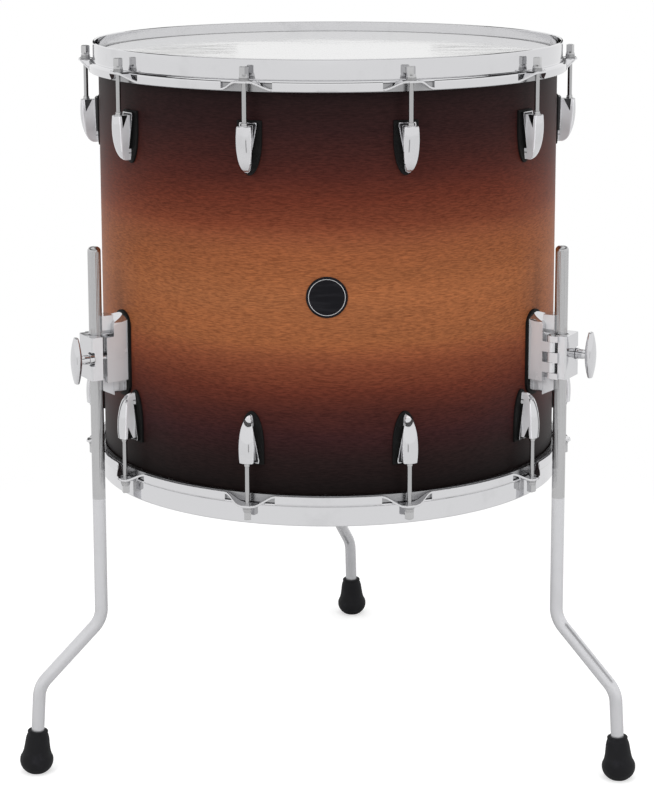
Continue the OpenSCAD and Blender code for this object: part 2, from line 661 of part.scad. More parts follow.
module bracket_gate(side) color("gainsboro") at_bracket(side) difference() {
    half = gate_h / 2;
    apex = leg_r + groove_r * sqrt(2);
    relief = gate_in + gate_relief;
    web_x = knuckle_r - hinge_x;
    union() {
        translate([0, 0, -half]) linear_extrude(gate_h) polygon([
            [gate_x[0], -relief], [gate_x[0], gate_corner - gate_out], [gate_x[0] + gate_corner, -gate_out],
            [gate_x[1] - gate_corner, -gate_out], [gate_x[1], gate_corner - gate_out],
            [gate_x[1], -gate_in], [-jaw_in, -gate_in], [-jaw_in, -relief]
        ]);
        for (side = [-1, 1]) hinge_barrel(knuckle_z[1] + barrel_gap, half, side, relief + 1, web_x);
        hinge_barrel(-knuckle_z[0] + barrel_gap / 2, knuckle_z[0] - barrel_gap / 2, 1, relief + 1, web_x);
    }
    // the vee that grips the leg
    translate([0, 0, -gate_h]) linear_extrude(2 * gate_h)
        polygon([[0, -apex], [apex - gate_in + 2, 2 - gate_in], [gate_in - apex - 2, 2 - gate_in]]);
    // room for the base's knuckles
    for (z = [knuckle_z[0] - barrel_gap / 2, -knuckle_z[1] - barrel_gap])
        post(hinge_x, hinge_r, knuckle_r + 0.4, z, z + knuckle_z[1] - knuckle_z[0] + 1.5 * barrel_gap);
    post(hinge_x, hinge_r, pin_d / 2 + slip, -gate_h, gate_h);
    // the hole for the screw, and the seat of its hub, which is open at the gate's free side
    spoke(screw_offset + slot_shift, 0, slot_r, gate_in - 2, gate_out + 1);
    spoke(screw_offset, 0, seat_r, gate_out - seat_depth, gate_out + 1);
    block([screw_offset, gate_out - seat_depth, -seat_r], [gate_x[1] + 1, gate_out + 1, seat_r]);
}

module hinge_pin(side) color("gray") at_bracket(side) {
    post(hinge_x, hinge_r, pin_d / 2, -gate_h / 2 - 1, gate_h / 2 + slip);
    post(hinge_x, hinge_r, pin_d / 2 + 0.8, gate_h / 2 + slip, gate_h / 2 + 1.2);
}

module wing_screw(side) color("gainsboro") at_bracket(side) {
    hub_in = gate_out - seat_depth + slip;
    spoke(screw_offset, 0, screw_d / 2, jaw_r - screw_in, hub_in + 1);
    spoke(screw_offset, 0, hub_r, hub_in, wing_r - wing_t[1] / 2 + 1);
    intersection() {
        outwards(wing_r - wing_t[1], wing_r + wing_t[1])
            translate([screw_offset, 0]) lens(wing_w[1] / 2, wing_w[0] / 2, wing_h);
        translate([screw_offset, 0, 0]) across(wing_w[1] + 2)
            translate([wing_r, 0]) lens(wing_t[1] / 2, wing_t[0] / 2, wing_h);
    }
}

module bracket_screws() color("dimgray") for (side = SIDES) at_bracket(side) for (z = mount_screw_z)
    translate([0, 0, z])
        wall_screw(mount_screw_d, mount_screw_head, mount_washer, bracket_seat + mount_screw_in);

module bracket_screw_washers() color("gray") for (side = SIDES) at_bracket(side) for (z = mount_screw_z)
    translate([0, 0, z]) wall_washer(mount_screw_d, mount_washer);

// Legs -------------------------------------------------------------------------------------

// Moves a leg, made with its upright part on the Z axis and its reach along +X, to its bracket.
module at_leg(side) at_azimuth(bracket_azimuth(side)) translate([0, -leg_r, 0])
    rotate([0, 0, -90 + leg_turn(side)]) children();

// A bend about the Y axis from angle a0 through the given angle.
module bend(x, z, a0, angle) translate([x, 0, z]) rotate([90, 0, 0]) rotate([0, 0, a0])
    rotate_extrude(angle = angle) translate([bend_r, 0]) circle(d = leg_d + 2 * bend_swell);

// A straight of the rod from (x, z), leaning by an angle from straight down, lapped into its bends.
module straight(x, z, angle, length, lap_end) translate([x, 0, z]) rotate([0, 180 - angle, 0])
    translate([0, 0, -straight_lap]) cylinder(d = leg_d, h = length + straight_lap + lap_end);

module leg(side) color("gainsboro") at_leg(side) {
    high = bend_high + run_high;
    p1 = [bend_r * (1 - cos(slant)), high - bend_r * sin(slant)];
    slant_l = norm([bend_reach, bend_high - bend_low]) - run_high - run_low;
    p2 = p1 + slant_l * [sin(slant), -cos(slant)];
    c2 = p2 - bend_r * [cos(slant), sin(slant)];
    p3 = c2 + bend_r * [cos(foot_lean), sin(foot_lean)];
    rotate_extrude() polygon(concat(
        [[0, high - straight_lap], [leg_d / 2, high - straight_lap]],
        arc(leg_d / 2 - dome_r, leg_top_z - dome_r, dome_r, 0, 90),
        [[0, leg_top_z]]
    ));
    bend(bend_r, high, 180, slant);
    straight(p1[0], p1[1], slant, slant_l, straight_lap);
    bend(c2[0], c2[1], foot_lean, slant - foot_lean);
    straight(p3[0], p3[1], foot_lean, (p3[1] - leg_end) / cos(foot_lean), -slip);
}

module foot(side) color("black") at_leg(side) difference() {
    translate([foot_out, 0, 0]) rotate([0, -foot_lean, 0]) rotate_extrude() {
        big = foot_d / 2;
        polygon(concat(
            [for (a = [-90:10:0]) [big * cos(a), foot_mid + foot_bottom_b * sin(a)]],
            arc(big - 8, foot_mid + 1, 8, 0, 36, 4),
            [[neck_r + 1.6, foot_mid + 13.5], [neck_r + 0.6, foot_mid + 18], [neck_r, foot_h - 7]],
            arc(lip_r, foot_h - 2, 2, 0, 90, 3),
            [[foot_bore_r, foot_h], [foot_bore_r, leg_end], [0, leg_end]]
        ));
    }
    translate([foot_out, 0, -foot_h / 2]) cube([4 * foot_d, 4 * foot_d, foot_h], center = true);
}

// Drawing ----------------------------------------------------------------------------------

shell();
badge();
vent_grommet();
lug_screws();
lug_screw_washers();
bracket_gaskets();
bracket_screws();
bracket_screw_washers();
for (end = ENDS) {
    head(end);
    flesh_hoop(end);
    hoop(end);
    lugs(end);
    lug_gaskets(end);
    swivel_nuts(end);
    rod_washers(end);
    for (i = [1:lug_count]) tension_rod(end, i);
}
for (side = SIDES) {
    bracket_base(side);
    bracket_gate(side);
    hinge_pin(side);
    wing_screw(side);
    leg(side);
    foot(side);
}
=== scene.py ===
"""The looks of a floor tom: a sunburst shell, film heads, chromed hoops, lugs, brackets and legs.

Shapes are worked out in millimetres in the part's own frame, with +Z up, -Y to the front and the
origin on the floor under the drum's axis. A fitting is made at the front of the drum, where x is
the distance along the girth and -y the radius, and is then carried round to its azimuth.
"""

import logging
import math
from dataclasses import dataclass, field
from enum import Enum
from typing import Callable, Sequence

import bmesh
import bpy
from mathutils import Matrix, Vector


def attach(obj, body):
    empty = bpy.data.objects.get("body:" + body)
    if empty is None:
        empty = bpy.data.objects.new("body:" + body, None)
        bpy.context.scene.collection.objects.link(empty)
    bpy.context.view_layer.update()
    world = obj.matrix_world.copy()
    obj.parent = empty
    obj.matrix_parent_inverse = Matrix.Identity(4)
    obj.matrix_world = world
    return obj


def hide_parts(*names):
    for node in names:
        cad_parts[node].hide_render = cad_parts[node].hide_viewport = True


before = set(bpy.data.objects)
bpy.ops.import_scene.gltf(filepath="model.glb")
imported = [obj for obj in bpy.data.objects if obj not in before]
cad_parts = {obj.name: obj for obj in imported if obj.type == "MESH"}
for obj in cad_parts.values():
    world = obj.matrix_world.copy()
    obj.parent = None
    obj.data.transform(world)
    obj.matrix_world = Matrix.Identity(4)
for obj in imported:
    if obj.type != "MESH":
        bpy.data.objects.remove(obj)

log = logging.getLogger("floor_tom")
Point2 = tuple[float, float]
Point3 = tuple[float, float, float]
Colour = tuple[float, float, float]
MM = 0.001  # metres in a millimetre
SMOOTH_LIMIT = math.radians(42.0)  # the angle above which an edge stays sharp
SQUARE_ON = 0.8  # how much of a face's direction has to lie along an axis for it to face that way
NEAR = 0.05  # how many millimetres apart two places may be and still count as one
ROUND_STEPS = 240  # steps round the shell and the heads
WHITE = (1.0, 1.0, 1.0)


# Shape helpers ------------------------------------------------------------------------------


def colour(red: int, green: int, blue: int) -> Colour:
    """Turns a display colour from 0 to 255 into the linear colour that shaders use.

    Args:
        red: the red part.
        green: the green part.
        blue: the blue part.

    Returns:
        The linear red, green and blue.
    """

    def linear(part: float) -> float:
        """Undoes the display's curve for one part of the colour."""
        return part / 12.92 if part <= 0.04045 else ((part + 0.055) / 1.055) ** 2.4

    return linear(red / 255), linear(green / 255), linear(blue / 255)


def azimuth(angle: float) -> Matrix:
    """The turn that carries a fitting from the drum's front round to an azimuth in degrees."""
    return Matrix.Rotation(math.radians(angle), 4, "Z")


def polar(across: float, radius: float, height: float) -> Vector:
    """A point of a fitting, from its distance along the girth, its radius and its height."""
    return Vector((across, -radius, height))


def unit(angle: float) -> Point2:
    """The cosine and the sine of an angle in degrees."""
    return math.cos(math.radians(angle)), math.sin(math.radians(angle))


def circle(steps: int) -> list[Point2]:
    """The cosine and the sine of every step of a whole turn."""
    return [unit(360.0 * i / steps) for i in range(steps)]


def arc(x: float, y: float, radius: float, start: float, stop: float, steps: int = 8) -> list[Point2]:
    """Points along an arc.

    Args:
        x: the centre's first coordinate.
        y: the centre's second coordinate.
        radius: the arc's radius.
        start: the first angle in degrees.
        stop: the last angle in degrees.
        steps: how many chords the arc has.

    Returns:
        The points, from start to stop.
    """
    ways = [unit(start + (stop - start) * i / steps) for i in range(steps + 1)]
    return [(x + radius * c, y + radius * s) for c, s in ways]


@dataclass(frozen=True)
class Bevel:
    """How the edges of a shape are rounded."""

    width: float = 0.5
    segments: int = 2
    angle: float = 30.0


class Form:
    """A shape being made, as points in millimetres and faces between them."""

    def __init__(self) -> None:
        """Starts with no points and no faces, painted with its piece's first finish."""
        self.points: list[Vector] = []
        self.faces: list[tuple[int, ...]] = []
        self.paints: list[int] = []

    def grid(
        self,
        rows: Sequence[Sequence[Vector]],
        loop_rows: bool = False,
        loop_columns: bool = False,
        caps: bool = False,
    ) -> "Form":
        """Adds a sheet of quads.

        Args:
            rows: the sheet's points, row by row.
            loop_rows: whether the last row joins the first.
            loop_columns: whether each row's last point joins its first.
            caps: whether the first and the last row are closed with one face each.

        Returns:
            The form itself.
        """
        base, count, width = len(self.points), len(rows), len(rows[0])
        for row in rows:
            self.points.extend(Vector(p) for p in row)
        for i in range(count if loop_rows else count - 1):
            for j in range(width if loop_columns else width - 1):
                here, there = base + i * width, base + (i + 1) % count * width
                nxt = (j + 1) % width
                self.faces.append((here + j, here + nxt, there + nxt, there + j))
        if caps:
            last = base + (count - 1) * width
            self.faces.append(tuple(base + j for j in reversed(range(width))))
            self.faces.append(tuple(last + j for j in range(width)))
        self.paints.extend([0] * (len(self.faces) - len(self.paints)))
        return self

    def lathe(
        self,
        profile: Sequence[Point2],
        turns: int = 64,
        closed: bool = True,
        start: float = 0.0,
        sweep: float = 360.0,
    ) -> "Form":
        """Turns a profile of (radius, height) about the Z axis, starting from the front.

        Args:
            profile: the points of the profile.
            turns: how many steps the sweep has.
            closed: whether the profile's last point joins its first.
            start: the azimuth of the first step.
            sweep: how far round the profile is taken.

        Returns:
            The form itself.
        """
        whole = sweep >= 360.0
        steps = turns if whole else turns + 1
        rows = []
        for i in range(steps):
            turn = azimuth(start + sweep * i / turns)
            rows.append([turn @ polar(0.0, r, z) for r, z in profile])
        return self.grid(rows, loop_rows=whole, loop_columns=closed, caps=closed and not whole)

    def prism(
        self,
        outline: Sequence[Point2],
        low: float,
        high: float,
        place: Callable[[float, float, float], Vector],
    ) -> "Form":
        """Pushes a closed outline from one level to another.

        Args:
            outline: the outline's points.
            low: the first level.
            high: the last level.
            place: gives the point for an outline's two numbers and a level.

        Returns:
            The form itself.
        """
        rows = [[place(u, v, level) for u, v in outline] for level in (low, high)]
        return self.grid(rows, loop_columns=True, caps=True)

    def add(self, other: "Form", move: Matrix | None = None) -> "Form":
        """Adds a copy of another form.

        Args:
            other: the form to copy.
            move: where the copy goes.

        Returns:
            The form itself.
        """
        base = len(self.points)
        self.points.extend((move @ p if move else p.copy()) for p in other.points)
        flip = move is not None and move.determinant() < 0
        for face in other.faces:
            moved = tuple(base + i for i in face)
            self.faces.append(moved[::-1] if flip else moved)
        self.paints.extend(other.paints)
        return self

    def painted(self, paint: int, facing: tuple[bool, bool, bool] = (True, True, True)) -> "Form":
        """Gives faces another of the piece's finishes.

        Args:
            paint: the finish's number.
            facing: whether faces that look along the girth, outwards and along the axis are painted.

        Returns:
            The form itself.
        """
        for i, face in enumerate(self.faces):
            corners = [self.points[j] for j in face]
            normal = (corners[0] - corners[2]).cross(corners[1] - corners[-1])
            along = max(range(3), key=lambda k: abs(normal[k]))
            if facing[along] and abs(normal[along]) > SQUARE_ON * normal.length:
                self.paints[i] = paint
        return self

    def mesh(self, bevel: Bevel | None = None) -> bmesh.types.BMesh:
        """Makes a closed, outward-facing mesh, in millimetres.

        Args:
            bevel: how its sharp edges are rounded.

        Returns:
            The mesh.
        """
        made = bmesh.new()
        corners = [made.verts.new(p) for p in self.points]
        for face, paint in zip(self.faces, self.paints):
            if len(set(face)) > 2:
                made.faces.new([corners[i] for i in face]).material_index = paint
        bmesh.ops.remove_doubles(made, verts=made.verts, dist=1e-4)
        bmesh.ops.dissolve_degenerate(made, edges=made.edges, dist=1e-4)
        bmesh.ops.recalc_face_normals(made, faces=made.faces)
        if bevel:
            round_edges(made, bevel)
        return made

    def rounded(self, bevel: Bevel) -> "Form":
        """A copy of this form with its sharp edges rounded.

        Args:
            bevel: how they are rounded.

        Returns:
            The new form.
        """
        made = self.mesh(bevel)
        made.verts.index_update()
        result = Form()
        result.points = [v.co.copy() for v in made.verts]
        result.faces = [tuple(v.index for v in f.verts) for f in made.faces]
        result.paints = [f.material_index for f in made.faces]
        made.free()
        return result

    def piece(
        self,
        name: str,
        finish: bpy.types.Material,
        body: str,
        slot: str,
        node: str | None = None,
        others: Sequence[bpy.types.Material] = (),
    ) -> None:
        """Makes the Blender object of this form, in metres, riding on a body.

        Args:
            name: the object's name.
            finish: its material.
            body: the body that it rides on.
            slot: passed on to finish_piece, which does not use it.
            node: the node of the frame that it stands in for, if any.
            others: the materials of faces with paint 1 and up.
        """
        made = self.mesh()
        bmesh.ops.scale(made, vec=(MM, MM, MM), verts=made.verts)
        finish_piece(made, name, finish, body, slot, node, others)


def round_edges(made: bmesh.types.BMesh, bevel: Bevel) -> None:
    """Rounds a mesh's sharp edges.

    Args:
        made: the mesh, which is changed.
        bevel: how its edges are rounded.
    """
    limit = math.radians(bevel.angle)
    sharp = [e for e in made.edges if len(e.link_faces) == 2 and e.calc_face_angle(0.0) > limit]
    bmesh.ops.bevel(
        made,
        geom=sharp,
        offset=bevel.width,
        offset_type="OFFSET",
        segments=bevel.segments,
        profile=0.5,
        affect="EDGES",
        clamp_overlap=True,
    )


def finish_piece(
    made: bmesh.types.BMesh,
    name: str,
    finish: bpy.types.Material,
    body: str,
    slot: str,
    node: str | None = None,
    others: Sequence[bpy.types.Material] = (),
) -> None:
    """Turns a mesh in metres into a smooth-shaded object that rides on a body.

    Args:
        made: the mesh, which is used up.
        name: the object's name.
        finish: its material.
        body: the body that it rides on.
        slot: not used.
        node: the node of the frame that it stands in for, if any.
        others: the materials of faces with a higher material number.
    """
    for face in made.faces:
        face.smooth = True
    for edge in made.edges:
        edge.smooth = len(edge.link_faces) != 2 or edge.calc_face_angle(0.0) <= SMOOTH_LIMIT
    data = bpy.data.meshes.new(name)
    made.to_mesh(data)
    made.free()
    for material in (finish, *others):
        data.materials.append(material)
    piece = bpy.data.objects.new(name, data)
    bpy.context.scene.collection.objects.link(piece)
    weights = piece.modifiers.new("even_normals", "WEIGHTED_NORMAL")
    weights.keep_sharp = True
    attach(piece, body)
    if node:
        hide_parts(node)
    log.info("%s made", name)


def dress(node: str, finish: bpy.types.Material) -> None:
    """Gives a node of the frame, which keeps its own shape, its material.

    Args:
        node: the node.
        finish: the material.
    """
    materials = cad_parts[node].data.materials
    materials.clear()
    materials.append(finish)
    log.info("%s dressed", node)


# Shader helpers -----------------------------------------------------------------------------


@dataclass(frozen=True)
class Pattern:
    """A noise pattern: its scale, detail and roughness, and its stretch along each axis."""

    scale: float
    detail: float = 2.0
    rough: float = 0.5
    stretch: Point3 | None = None


class Wire:
    """A shader socket that can be used in Python expressions."""

    def __init__(self, graph: "Graph", socket: bpy.types.NodeSocket) -> None:
        """Wraps an output socket.

        Args:
            graph: the graph that the socket is in.
            socket: the output socket.
        """
        self.graph = graph
        self.socket = socket

    def math(self, operation: str, first: "Wire | float", second: "Wire | float" = 0.0) -> "Wire":
        """Adds a Math node.

        Args:
            operation: the node's operation.
            first: its first value.
            second: its second value.

        Returns:
            Its result.
        """
        return self.graph.node("ShaderNodeMath", {"operation": operation}, {0: first, 1: second})

    def __add__(self, other: "Wire | float") -> "Wire":
        """This value plus another."""
        return self.math("ADD", self, other)

    def __radd__(self, other: float) -> "Wire":
        """A number plus this value."""
        return self.math("ADD", other, self)

    def __sub__(self, other: "Wire | float") -> "Wire":
        """This value less another."""
        return self.math("SUBTRACT", self, other)

    def __rsub__(self, other: float) -> "Wire":
        """A number less this value."""
        return self.math("SUBTRACT", other, self)

    def __mul__(self, other: "Wire | float") -> "Wire":
        """This value times another."""
        return self.math("MULTIPLY", self, other)

    def __rmul__(self, other: float) -> "Wire":
        """A number times this value."""
        return self.math("MULTIPLY", other, self)

    def __pow__(self, other: float) -> "Wire":
        """This value to a power."""
        return self.math("POWER", self, other)

    def clipped(self) -> "Wire":
        """This value held between 0 and 1."""
        return self.graph.node("ShaderNodeClamp", {}, {"Value": self})

    def between(self, low: float, high: float) -> "Wire":
        """0 at or below the low value and 1 at or above the high one, with a smooth rise between."""
        inputs = {"Value": self, "From Min": low, "From Max": high}
        return self.graph.node("ShaderNodeMapRange", {"interpolation_type": "SMOOTHSTEP"}, inputs)


class Graph:
    """The nodes of one material or of the world."""

    def __init__(self, owner: bpy.types.Material | bpy.types.World) -> None:
        """Clears the owner's nodes.

        Args:
            owner: the material or world whose nodes these are.
        """
        owner.use_nodes = True
        self.owner = owner
        self.tree = owner.node_tree
        self.tree.nodes.clear()

    def node(self, kind: str, settings: dict, inputs: dict, output: str | int | None = 0) -> Wire | None:
        """Adds a node.

        Args:
            kind: the node's type.
            settings: its settings, set before its sockets; stops are a ramp's (position, colour) pairs.
            inputs: the value or the wire of each socket, by name or by number.
            output: the name or number of the output to return, or None for an end node.

        Returns:
            That output.
        """
        made = self.tree.nodes.new(kind)
        for key, value in settings.items():
            if key == "stops":
                ramp = made.color_ramp
                while len(ramp.elements) < len(value):
                    ramp.elements.new(1.0)
                for element, (position, shade) in zip(ramp.elements, value):
                    element.position = position
                    element.color = (*shade, 1.0)
            else:
                setattr(made, key, value)
        for key, value in inputs.items():
            socket = made.inputs[key]
            if isinstance(value, Wire):
                self.tree.links.new(value.socket, socket)
            elif isinstance(value, tuple) and len(value) == 3 and socket.type == "RGBA":
                socket.default_value = (*value, 1.0)
            else:
                socket.default_value = value
        return None if output is None else Wire(self, made.outputs[output])

    def place(self) -> Wire:
        """The point's own coordinates in metres, before any pose."""
        return self.node("ShaderNodeTexCoord", {}, {}, "Object")

    def parts(self, vector: Wire) -> tuple[Wire, Wire, Wire]:
        """The three parts of a vector."""
        outs = self.node("ShaderNodeSeparateXYZ", {}, {"Vector": vector}).socket.node.outputs
        return Wire(self, outs[0]), Wire(self, outs[1]), Wire(self, outs[2])

    def rays(self) -> tuple[Wire, Wire, Wire]:
        """Whether a ray comes from the camera, a reflection or a refraction."""
        outs = self.node("ShaderNodeLightPath", {}, {}).socket.node.outputs
        return tuple(Wire(self, outs[f"Is {kind} Ray"]) for kind in ("Camera", "Glossy", "Transmission"))

    def noise(self, vector: Wire, pattern: Pattern) -> Wire:
        """Noise from 0 to 1.

        Args:
            vector: where in the pattern the point lies.
            pattern: the pattern.

        Returns:
            The noise.
        """
        if pattern.stretch:
            settings = {"operation": "MULTIPLY"}
            vector = self.node("ShaderNodeVectorMath", settings, {0: vector, 1: pattern.stretch})
        inputs = {
            "Vector": vector,
            "Scale": pattern.scale,
            "Detail": pattern.detail,
            "Roughness": pattern.rough,
        }
        return self.node("ShaderNodeTexNoise", {}, inputs)

    def blend(
        self, first: Wire | Colour, second: Wire | Colour, amount: Wire | float, mode: str = "MIX"
    ) -> Wire:
        """Mixes two colours.

        Args:
            first: the colour at amount 0.
            second: the colour at amount 1.
            amount: how much of the second colour shows.
            mode: the way they are mixed.

        Returns:
            The mixed colour.
        """
        settings = {"data_type": "RGBA", "blend_type": mode, "clamp_factor": True}
        return self.node("ShaderNodeMix", settings, {0: amount, 6: first, 7: second}, 2)

    def bump(self, height: Wire, distance: float, strength: float = 1.0) -> Wire:
        """The normal of a surface with a fine relief, from its height and depth in metres."""
        inputs = {"Height": height, "Distance": distance, "Strength": strength}
        return self.node("ShaderNodeBump", {}, inputs)

    def glow(self, shade: float, strength: float = 1.0) -> Wire:
        """A plain grey light of its own."""
        return self.node("ShaderNodeEmission", {}, {"Color": (shade, shade, shade), "Strength": strength})

    def either(self, amount: Wire, first: Wire, second: Wire) -> Wire:
        """Mixes two shaders, the first at amount 0 and the second at amount 1."""
        return self.node("ShaderNodeMixShader", {}, {0: amount, 1: first, 2: second})

    def end(self, shader: Wire) -> bpy.types.Material | bpy.types.World:
        """Ends the graph in a shader.

        Args:
            shader: the shader.

        Returns:
            The material or the world.
        """
        kind = "World" if isinstance(self.owner, bpy.types.World) else "Material"
        self.node(f"ShaderNodeOutput{kind}", {}, {"Surface": shader}, None)
        return self.owner

    def surface(self, inputs: dict) -> bpy.types.Material:
        """Ends the graph in a Principled shader with these inputs, and gives its material."""
        return self.end(self.node("ShaderNodeBsdfPrincipled", {}, inputs))


# Finishes -----------------------------------------------------------------------------------


def toned(tint: Colour, share: float) -> Colour:
    """A colour with each part times the same share."""
    return tuple(part * share for part in tint)


def start(name: str) -> tuple[Graph, Wire]:
    """Starts a material, and gives its graph and the point's own coordinates in it."""
    graph = Graph(bpy.data.materials.new(name))
    return graph, graph.place()


@dataclass(frozen=True)
class Chrome:
    """Bright plate on steel or on a die casting.

    Smudges, marks and scratches each come in between two levels of their noise.
    """

    name: str
    tint: Colour = (0.74, 0.74, 0.755)
    roughness: float = 0.055
    smudge: float = 0.05
    ripple: float = 0.00001
    metal: float = 1.0
    dulling: float = 0.93
    clouds: Pattern = Pattern(28.0, 4.0, 0.6)
    marks: Pattern = Pattern(260.0, 3.0, 0.7, (1.0, 1.0, 3.0))
    waves: Pattern = Pattern(95.0, 1.0)
    smudged: Point2 = (0.52, 0.72)
    marked: Point2 = (0.6, 0.75)
    scratched: Point2 = (0.58, 0.8)
    smudge_share: float = 0.7
    mark_share: float = 0.3
    scratch_share: float = 0.6

    def make(self) -> bpy.types.Material:
        """Makes the material: bright metal with faint handling marks and a slight ripple."""
        graph, place = start(self.name)
        smudges = graph.noise(place, self.clouds).between(*self.smudged)
        marks = graph.noise(place, self.marks)
        amount = smudges * self.smudge_share + marks.between(*self.marked) * self.mark_share
        scratches = marks.between(*self.scratched) * (self.smudge * self.scratch_share)
        rough = self.roughness + smudges * self.smudge + scratches
        return graph.surface(
            {
                "Base Color": graph.blend(self.tint, toned(self.tint, self.dulling), amount),
                "Metallic": self.metal,
                "Roughness": rough,
                "Normal": graph.bump(graph.noise(place, self.waves), self.ripple),
            }
        )


@dataclass(frozen=True)
class Burst:
    """Satin lacquer over a stained veneer, sprayed dark towards both ends.

    The stops are heights in millimetres with their display colours. The tones are laid over the
    burst in turn, for dark grain, dark clusters, light grain and light broad streaks: each comes in
    where its noise passes its level, and deepens at its gain.
    """

    name: str = "burst_veneer"
    low: float = 0.2916
    high: float = 0.7036
    stops: tuple[tuple[float, tuple[int, int, int]], ...] = (
        (317, (24, 18, 18)),
        (340, (38, 25, 25)),
        (362, (54, 29, 30)),
        (384, (72, 36, 31)),
        (406, (98, 48, 35)),
        (429, (126, 68, 46)),
        (440, (138, 79, 52)),
        (453, (150, 91, 57)),
        (497, (158, 98, 62)),
        (517, (150, 91, 57)),
        (538, (145, 86, 55)),
        (551, (137, 78, 52)),
        (562, (120, 63, 43)),
        (584, (101, 49, 35)),
        (606, (79, 38, 31)),
        (628, (62, 32, 29)),
        (650, (48, 27, 27)),
        (684, (35, 23, 24)),
    )
    wander: Pattern = Pattern(3.2, stretch=(1.0, 1.0, 2.2))
    wander_depth: float = 0.018
    drift: Pattern = Pattern(9.0, stretch=(1.0, 1.0, 2.0))
    drift_depth: float = 0.010
    grain: Pattern = Pattern(1.0, 3.0, 0.6, (150.0, 150.0, 1000.0))
    clusters: Pattern = Pattern(1.0, 3.0, 0.6, (42.0, 42.0, 420.0))
    broad: Pattern = Pattern(1.0, 3.0, 0.55, (5.0, 5.0, 34.0))
    pores: Pattern = Pattern(900.0)
    tones: tuple[Colour, ...] = (
        (0.36, 0.28, 0.26),
        (0.50, 0.42, 0.40),
        (1.55, 1.45, 1.35),
        (1.40, 1.30, 1.20),
    )
    levels: tuple[float, float, float, float] = (0.54, 0.50, 0.50, 0.42)
    gains: tuple[float, ...] = (2.2, 1.1, 2.3, 1.0)
    roughness: float = 0.42
    grain_rough: float = 0.10
    specular: float = 0.06
    relief: float = 0.00003
    relief_share: Point2 = (0.6, 0.4)
    relief_strength: float = 0.5

    def burst(self, graph: Graph, place: Wire, height: Wire) -> Wire:
        """The stain's colour by height, with an uneven edge between its bands.

        Args:
            graph: the material's graph.
            place: the point's coordinates.
            height: the point's height.

        Returns:
            The colour.
        """
        span = self.high - self.low
        wander = graph.noise(place, self.wander)
        band = (height + (wander - 0.5) * self.wander_depth - self.low) * (1.0 / span)
        stops = tuple(((z * MM - self.low) / span, colour(*shade)) for z, shade in self.stops)
        return graph.node("ShaderNodeValToRGB", {"stops": stops}, {"Fac": band})

    def make(self) -> bpy.types.Material:
        """Makes the material: the burst by height, horizontal grain, pores and a low-gloss lacquer sheen.
        """
        graph, place = start(self.name)
        across, depth, height = graph.parts(place)
        shade = self.burst(graph, place, height)
        level = height + graph.noise(place, self.drift) * self.drift_depth
        bent = graph.node("ShaderNodeCombineXYZ", {}, {"X": across, "Y": depth, "Z": level})
        layers = (self.grain, self.clusters, self.broad)
        grain, clusters, broad = (graph.noise(bent, layer) for layer in layers)
        first, second, third, fourth = self.levels
        amounts = (first - grain, second - clusters, grain - third, broad - fourth)
        for tone, amount, gain in zip(self.tones, amounts, self.gains):
            shade = graph.blend(shade, tone, amount.clipped() * gain, "MULTIPLY")
        relief = grain * self.relief_share[0] + graph.noise(place, self.pores) * self.relief_share[1]
        return graph.surface(
            {
                "Base Color": shade,
                "Roughness": self.roughness + grain * self.grain_rough,
                "Specular IOR Level": self.specular,
                "Normal": graph.bump(relief, self.relief, self.relief_strength),
            }
        )


@dataclass(frozen=True)
class Film:
    """Smooth white polyester drum film."""

    name: str = "head_film"
    tint: Colour = (0.58, 0.58, 0.58)
    shading: float = 0.95
    wave: float = 0.0006
    mottle: Pattern = Pattern(420.0, 3.0, 0.6)
    clouds: Pattern = Pattern(9.0, 3.0)
    waves: Pattern = Pattern(1.0, 3.0, stretch=(14.0, 30.0, 1.0))
    wave_strength: float = 0.6
    roughness: float = 0.05
    cloud_rough: float = 0.05
    mottle_rough: float = 0.03
    specular: float = 0.8

    def make(self) -> bpy.types.Material:
        """Makes the material: a pale, faintly mottled film with a soft gloss."""
        graph, place = start(self.name)
        mottle, clouds = graph.noise(place, self.mottle), graph.noise(place, self.clouds)
        shade = graph.blend(self.tint, toned(self.tint, self.shading), mottle * 0.5 + clouds * 0.5)
        return graph.surface(
            {
                "Base Color": shade,
                "Roughness": self.roughness + clouds * self.cloud_rough + mottle * self.mottle_rough,
                "Specular IOR Level": self.specular,
                "Normal": graph.bump(graph.noise(place, self.waves), self.wave, self.wave_strength),
            }
        )


@dataclass(frozen=True)
class Rubber:
    """Black moulded rubber."""

    name: str
    tint: Colour = (0.006, 0.006, 0.0075)
    roughness: float = 0.5
    dusting: float = 2.4
    grit: float = 0.00005
    dust: Pattern = Pattern(60.0, 5.0, 0.65)
    pits: Pattern = Pattern(1400.0, 2.0, 0.6)
    dusted: Point2 = (0.5, 0.75)
    dust_rough: float = 0.14
    pit_rough: float = 0.1
    dust_grit: float = 0.5
    grit_strength: float = 0.8
    specular: float = 0.25

    def make(self) -> bpy.types.Material:
        """Makes the material: a dull black with dust and a fine moulded texture."""
        graph, place = start(self.name)
        dust, pits = graph.noise(place, self.dust), graph.noise(place, self.pits)
        shade = graph.blend(self.tint, toned(self.tint, self.dusting), dust.between(*self.dusted))
        return graph.surface(
            {
                "Base Color": shade,
                "Roughness": self.roughness + dust * self.dust_rough + pits * self.pit_rough,
                "Specular IOR Level": self.specular,
                "Normal": graph.bump(pits + dust * self.dust_grit, self.grit, self.grit_strength),
            }
        )


